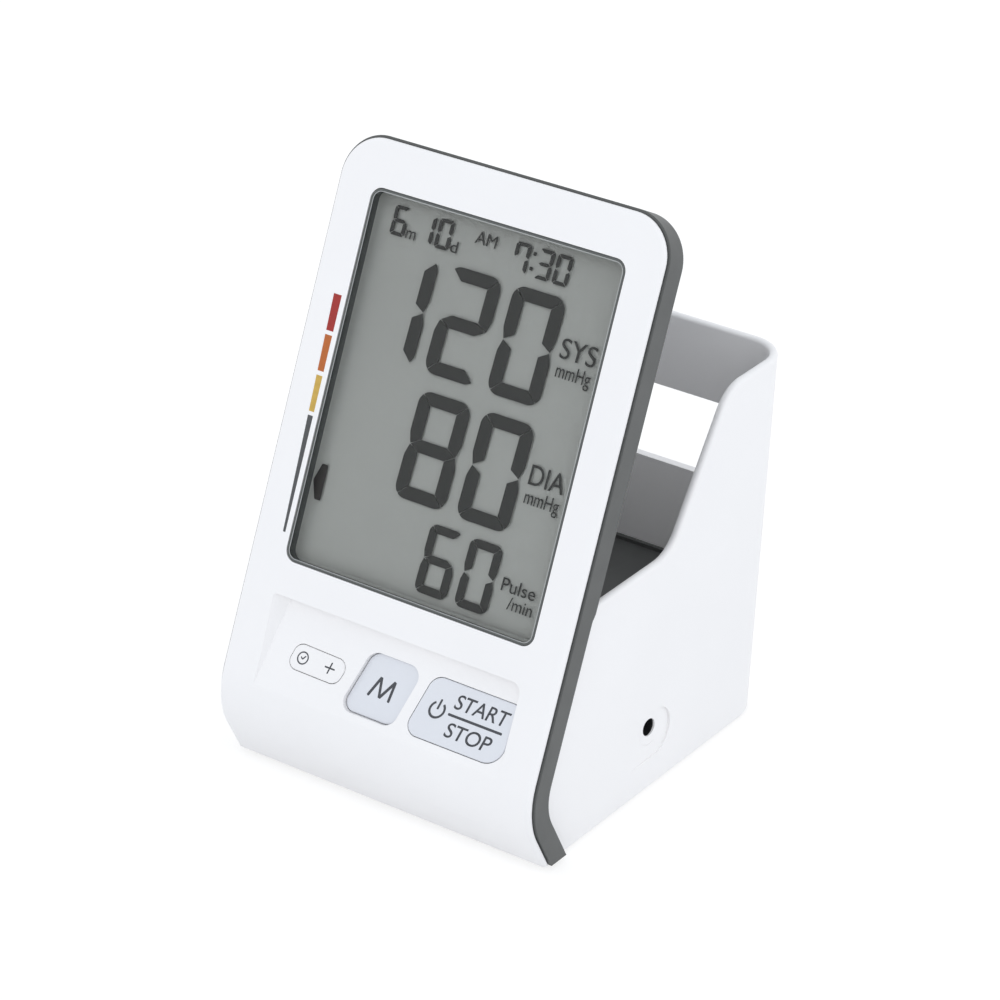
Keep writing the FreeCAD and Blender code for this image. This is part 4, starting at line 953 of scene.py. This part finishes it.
def print_time_plus_key(ink, top):
    """The clock at the left end of the pill and the plus at its right end."""
    clock = top @ at(-28.0, 41.05)
    hand_width = 0.34 * MM
    pivot = (-0.05 * MM, -0.35 * MM)
    bm = ring(1.65 * MM, 0.38 * MM, opening=0.0)
    print_on_key("clock_ring", bm, clock @ slanted(0.1), ink, "time_plus")
    bm = stroke((-0.65 * MM, 0.25 * MM), pivot, hand_width)
    print_on_key("clock_short_hand", bm, clock, ink, "time_plus")
    bm = stroke(pivot, (0.85 * MM, 0.75 * MM), hand_width)
    print_on_key("clock_long_hand", bm, clock, ink, "time_plus", CROSSING_THICKNESS)

    plus = top @ at(-18.8, 41.05)
    plus_width = 0.42 * MM
    bm = stroke((-1.7 * MM, 0.0), (1.7 * MM, 0.0), plus_width)
    print_on_key("plus_bar", bm, plus, ink, "time_plus")
    bm = stroke((0.0, -1.65 * MM), (0.0, 1.65 * MM), plus_width)
    print_on_key("plus_post", bm, plus @ slanted(0.22), ink, "time_plus", CROSSING_THICKNESS)


class MONITOR_OT_key_prints(bpy.types.Operator):
    """Prints the words and signs on the three keys"""

    bl_idname = "monitor.key_prints"
    bl_label = "Key Prints"

    def execute(self, context):
        panel = context.scene.monitor_panel
        ink = print_ink("key_ink", context.scene.monitor_finish.ink)
        print_memory_key(ink, on_key(panel.memory_rise))
        print_start_stop_key(ink, on_key(panel.start_rise))
        print_time_plus_key(ink, on_key(panel.pill_rise))
        return {"FINISHED"}


# ---------------------------------------------------------------- studio
SENSOR_WIDTH = 36.0
CAMERA_AIM = (0.01156, -0.01851, 0.08387)
CAMERA_REACH = 20.0
LAMP_AIM = (0.0, 0.0, 0.08)
LAMP_COLOUR = (1.0, 0.985, 0.960)
SURROUND_COLOUR = (0.90, 0.945, 1.0, 1.0)
WHITE = (1.0, 1.0, 1.0, 1.0)
# Sockets of a Mix node that is set to colours.
MIX_FACTOR = 0
MIX_FIRST = 6
MIX_SECOND = 7
MIX_RESULT = 2


def add_lamp(name, spot, size, watts):
    """Soft square lamp that shines at the monitor."""
    data = bpy.data.lights.new(name, "AREA")
    data.shape = "SQUARE"
    data.size = size
    data.energy = watts
    data.color = LAMP_COLOUR
    lamp = bpy.data.objects.new(name, data)
    bpy.context.scene.collection.objects.link(lamp)
    lamp.location = spot
    lamp.rotation_euler = (Vector(LAMP_AIM) - Vector(spot)).to_track_quat("-Z", "Y").to_euler()


def seen_directly(tree):
    """Is 1 where the camera sees the surface, straight, mirrored or through glass."""
    path = tree.nodes.new("ShaderNodeLightPath")
    value = path.outputs["Is Camera Ray"]
    for other in ("Is Glossy Ray", "Is Transmission Ray"):
        larger = tree.nodes.new("ShaderNodeMath")
        larger.operation = "MAXIMUM"
        tree.links.new(value, larger.inputs[0])
        tree.links.new(path.outputs[other], larger.inputs[1])
        value = larger.outputs[0]
    return value


def pale_paper():
    """Floor that lights the monitor like pale paper, and looks white apart from soft shadows."""
    material = bpy.data.materials.new("floor")
    material.use_nodes = True
    tree = material.node_tree
    tree.nodes.clear()
    output = tree.nodes.new("ShaderNodeOutputMaterial")
    paper = tree.nodes.new("ShaderNodeBsdfDiffuse")
    paper.inputs["Color"].default_value = (0.90, 0.90, 0.90, 1.0)
    shade = tree.nodes.new("ShaderNodeBsdfDiffuse")
    shade.inputs["Color"].default_value = (0.30, 0.30, 0.30, 1.0)
    glow = tree.nodes.new("ShaderNodeEmission")
    glow.inputs["Color"].default_value = (0.76, 0.76, 0.76, 1.0)
    both = tree.nodes.new("ShaderNodeAddShader")
    tree.links.new(shade.outputs["BSDF"], both.inputs[0])
    tree.links.new(glow.outputs["Emission"], both.inputs[1])
    choice = tree.nodes.new("ShaderNodeMixShader")
    tree.links.new(seen_directly(tree), choice.inputs["Fac"])
    tree.links.new(paper.outputs["BSDF"], choice.inputs[1])
    tree.links.new(both.outputs["Shader"], choice.inputs[2])
    tree.links.new(choice.outputs["Shader"], output.inputs["Surface"])
    return material


def add_floor(size):
    """Square floor under the monitor."""
    bm = bmesh.new()
    bmesh.ops.create_grid(bm, x_segments=1, y_segments=1, size=size / 2)
    mesh = bpy.data.meshes.new("floor")
    bm.to_mesh(mesh)
    bm.free()
    mesh.materials.append(pale_paper())
    floor = bpy.data.objects.new("floor", mesh)
    bpy.context.scene.collection.objects.link(floor)


def add_surround(strength):
    """Even, slightly cool light from all round, which looks white where it is seen."""
    world = bpy.data.worlds.new("surround")
    bpy.context.scene.world = world
    world.use_nodes = True
    tree = world.node_tree
    tree.nodes.clear()
    output = tree.nodes.new("ShaderNodeOutputWorld")
    light = tree.nodes.new("ShaderNodeBackground")
    seen = seen_directly(tree)
    tint = tree.nodes.new("ShaderNodeMix")
    tint.data_type = "RGBA"
    tint.inputs[MIX_FIRST].default_value = SURROUND_COLOUR
    tint.inputs[MIX_SECOND].default_value = WHITE
    tree.links.new(seen, tint.inputs[MIX_FACTOR])
    tree.links.new(tint.outputs[MIX_RESULT], light.inputs["Color"])
    brightness = tree.nodes.new("ShaderNodeMapRange")
    brightness.inputs["To Min"].default_value = strength
    brightness.inputs["To Max"].default_value = 1.0
    tree.links.new(seen, brightness.inputs["Value"])
    tree.links.new(brightness.outputs["Result"], light.inputs["Strength"])
    tree.links.new(light.outputs["Background"], output.inputs["Surface"])


def add_camera(studio):
    """Camera that looks down at the monitor from its front right."""
    data = bpy.data.cameras.new("camera")
    data.lens = studio.focal
    data.sensor_width = SENSOR_WIDTH
    data.clip_end = CAMERA_REACH
    camera = bpy.data.objects.new("camera", data)
    bpy.context.scene.collection.objects.link(camera)
    camera.rotation_euler = (studio.pitch, 0.0, studio.heading)
    back = camera.rotation_euler.to_matrix() @ Vector((0.0, 0.0, 1.0))
    camera.location = Vector(CAMERA_AIM) + back * studio.distance
    bpy.context.scene.camera = camera


class MONITOR_OT_studio(bpy.types.Operator):
    """Sets up the pale floor, the soft lamps, the surround and the camera"""

    bl_idname = "monitor.studio"
    bl_label = "Studio"

    def execute(self, context):
        studio = context.scene.monitor_studio
        add_floor(studio.floor_size)
        # Each lamp has its name, place, side and power.
        lamps = (
            ("main_lamp", (-1.50, -1.18, 1.17), 0.9, studio.main_power),
            ("side_lamp", (1.5, 0.6, 0.9), 1.4, studio.side_power),
            ("front_lamp", (0.5, -1.9, 0.35), 1.2, studio.front_power),
            ("corner_lamp", (1.05, -1.35, 0.95), 1.2, studio.corner_power),
            ("top_lamp", (0.1, 0.5, 1.9), 1.0, studio.top_power),
        )
        for name, spot, size, watts in lamps:
            add_lamp(name, spot, size, watts)
        add_surround(studio.surround)
        add_camera(studio)
        context.scene.view_settings.view_transform = "Standard"
        return {"FINISHED"}


STEPS = (
    MONITOR_OT_shell_finishes,
    MONITOR_OT_key_finishes,
    MONITOR_OT_display_finishes,
    MONITOR_OT_inside_finishes,
    MONITOR_OT_display_glass,
    MONITOR_OT_lens_edge,
    MONITOR_OT_plug_liner,
    MONITOR_OT_reading_digits,
    MONITOR_OT_reading_words,
    MONITOR_OT_range_pointer,
    MONITOR_OT_range_scale,
    MONITOR_OT_key_prints,
    MONITOR_OT_studio,
)


class MONITOR_PT_sidebar(bpy.types.Panel):
    """Lists the monitor's settings and steps"""

    bl_label = "Monitor"
    bl_space_type = "VIEW_3D"
    bl_region_type = "UI"
    bl_category = "Monitor"

    def draw(self, context):
        column = self.layout.column()
        for name, group in GROUPS.items():
            column.label(text=group.__name__)
            for setting in group.__annotations__:
                column.prop(getattr(context.scene, name), setting)
        for step in STEPS:
            column.operator(step.bl_idname)


CLASSES = (*GROUPS.values(), *STEPS, MONITOR_PT_sidebar)


def register():
    for entry in CLASSES:
        bpy.utils.register_class(entry)
    for name, group in GROUPS.items():
        setattr(bpy.types.Scene, name, bpy.props.PointerProperty(type=group))


def unregister():
    for name in GROUPS:
        delattr(bpy.types.Scene, name)
    for entry in reversed(CLASSES):
        bpy.utils.unregister_class(entry)


def main():
    """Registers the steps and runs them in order."""
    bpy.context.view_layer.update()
    register()
    bpy.ops.monitor.shell_finishes()
    bpy.ops.monitor.key_finishes()
    bpy.ops.monitor.display_finishes()
    bpy.ops.monitor.inside_finishes()
    bpy.ops.monitor.display_glass()
    bpy.ops.monitor.lens_edge()
    bpy.ops.monitor.plug_liner()
    bpy.ops.monitor.reading_digits()
    bpy.ops.monitor.reading_words()
    bpy.ops.monitor.range_pointer()
    bpy.ops.monitor.range_scale()
    bpy.ops.monitor.key_prints()
    bpy.ops.monitor.studio()


if __name__ == "__main__":
    main()
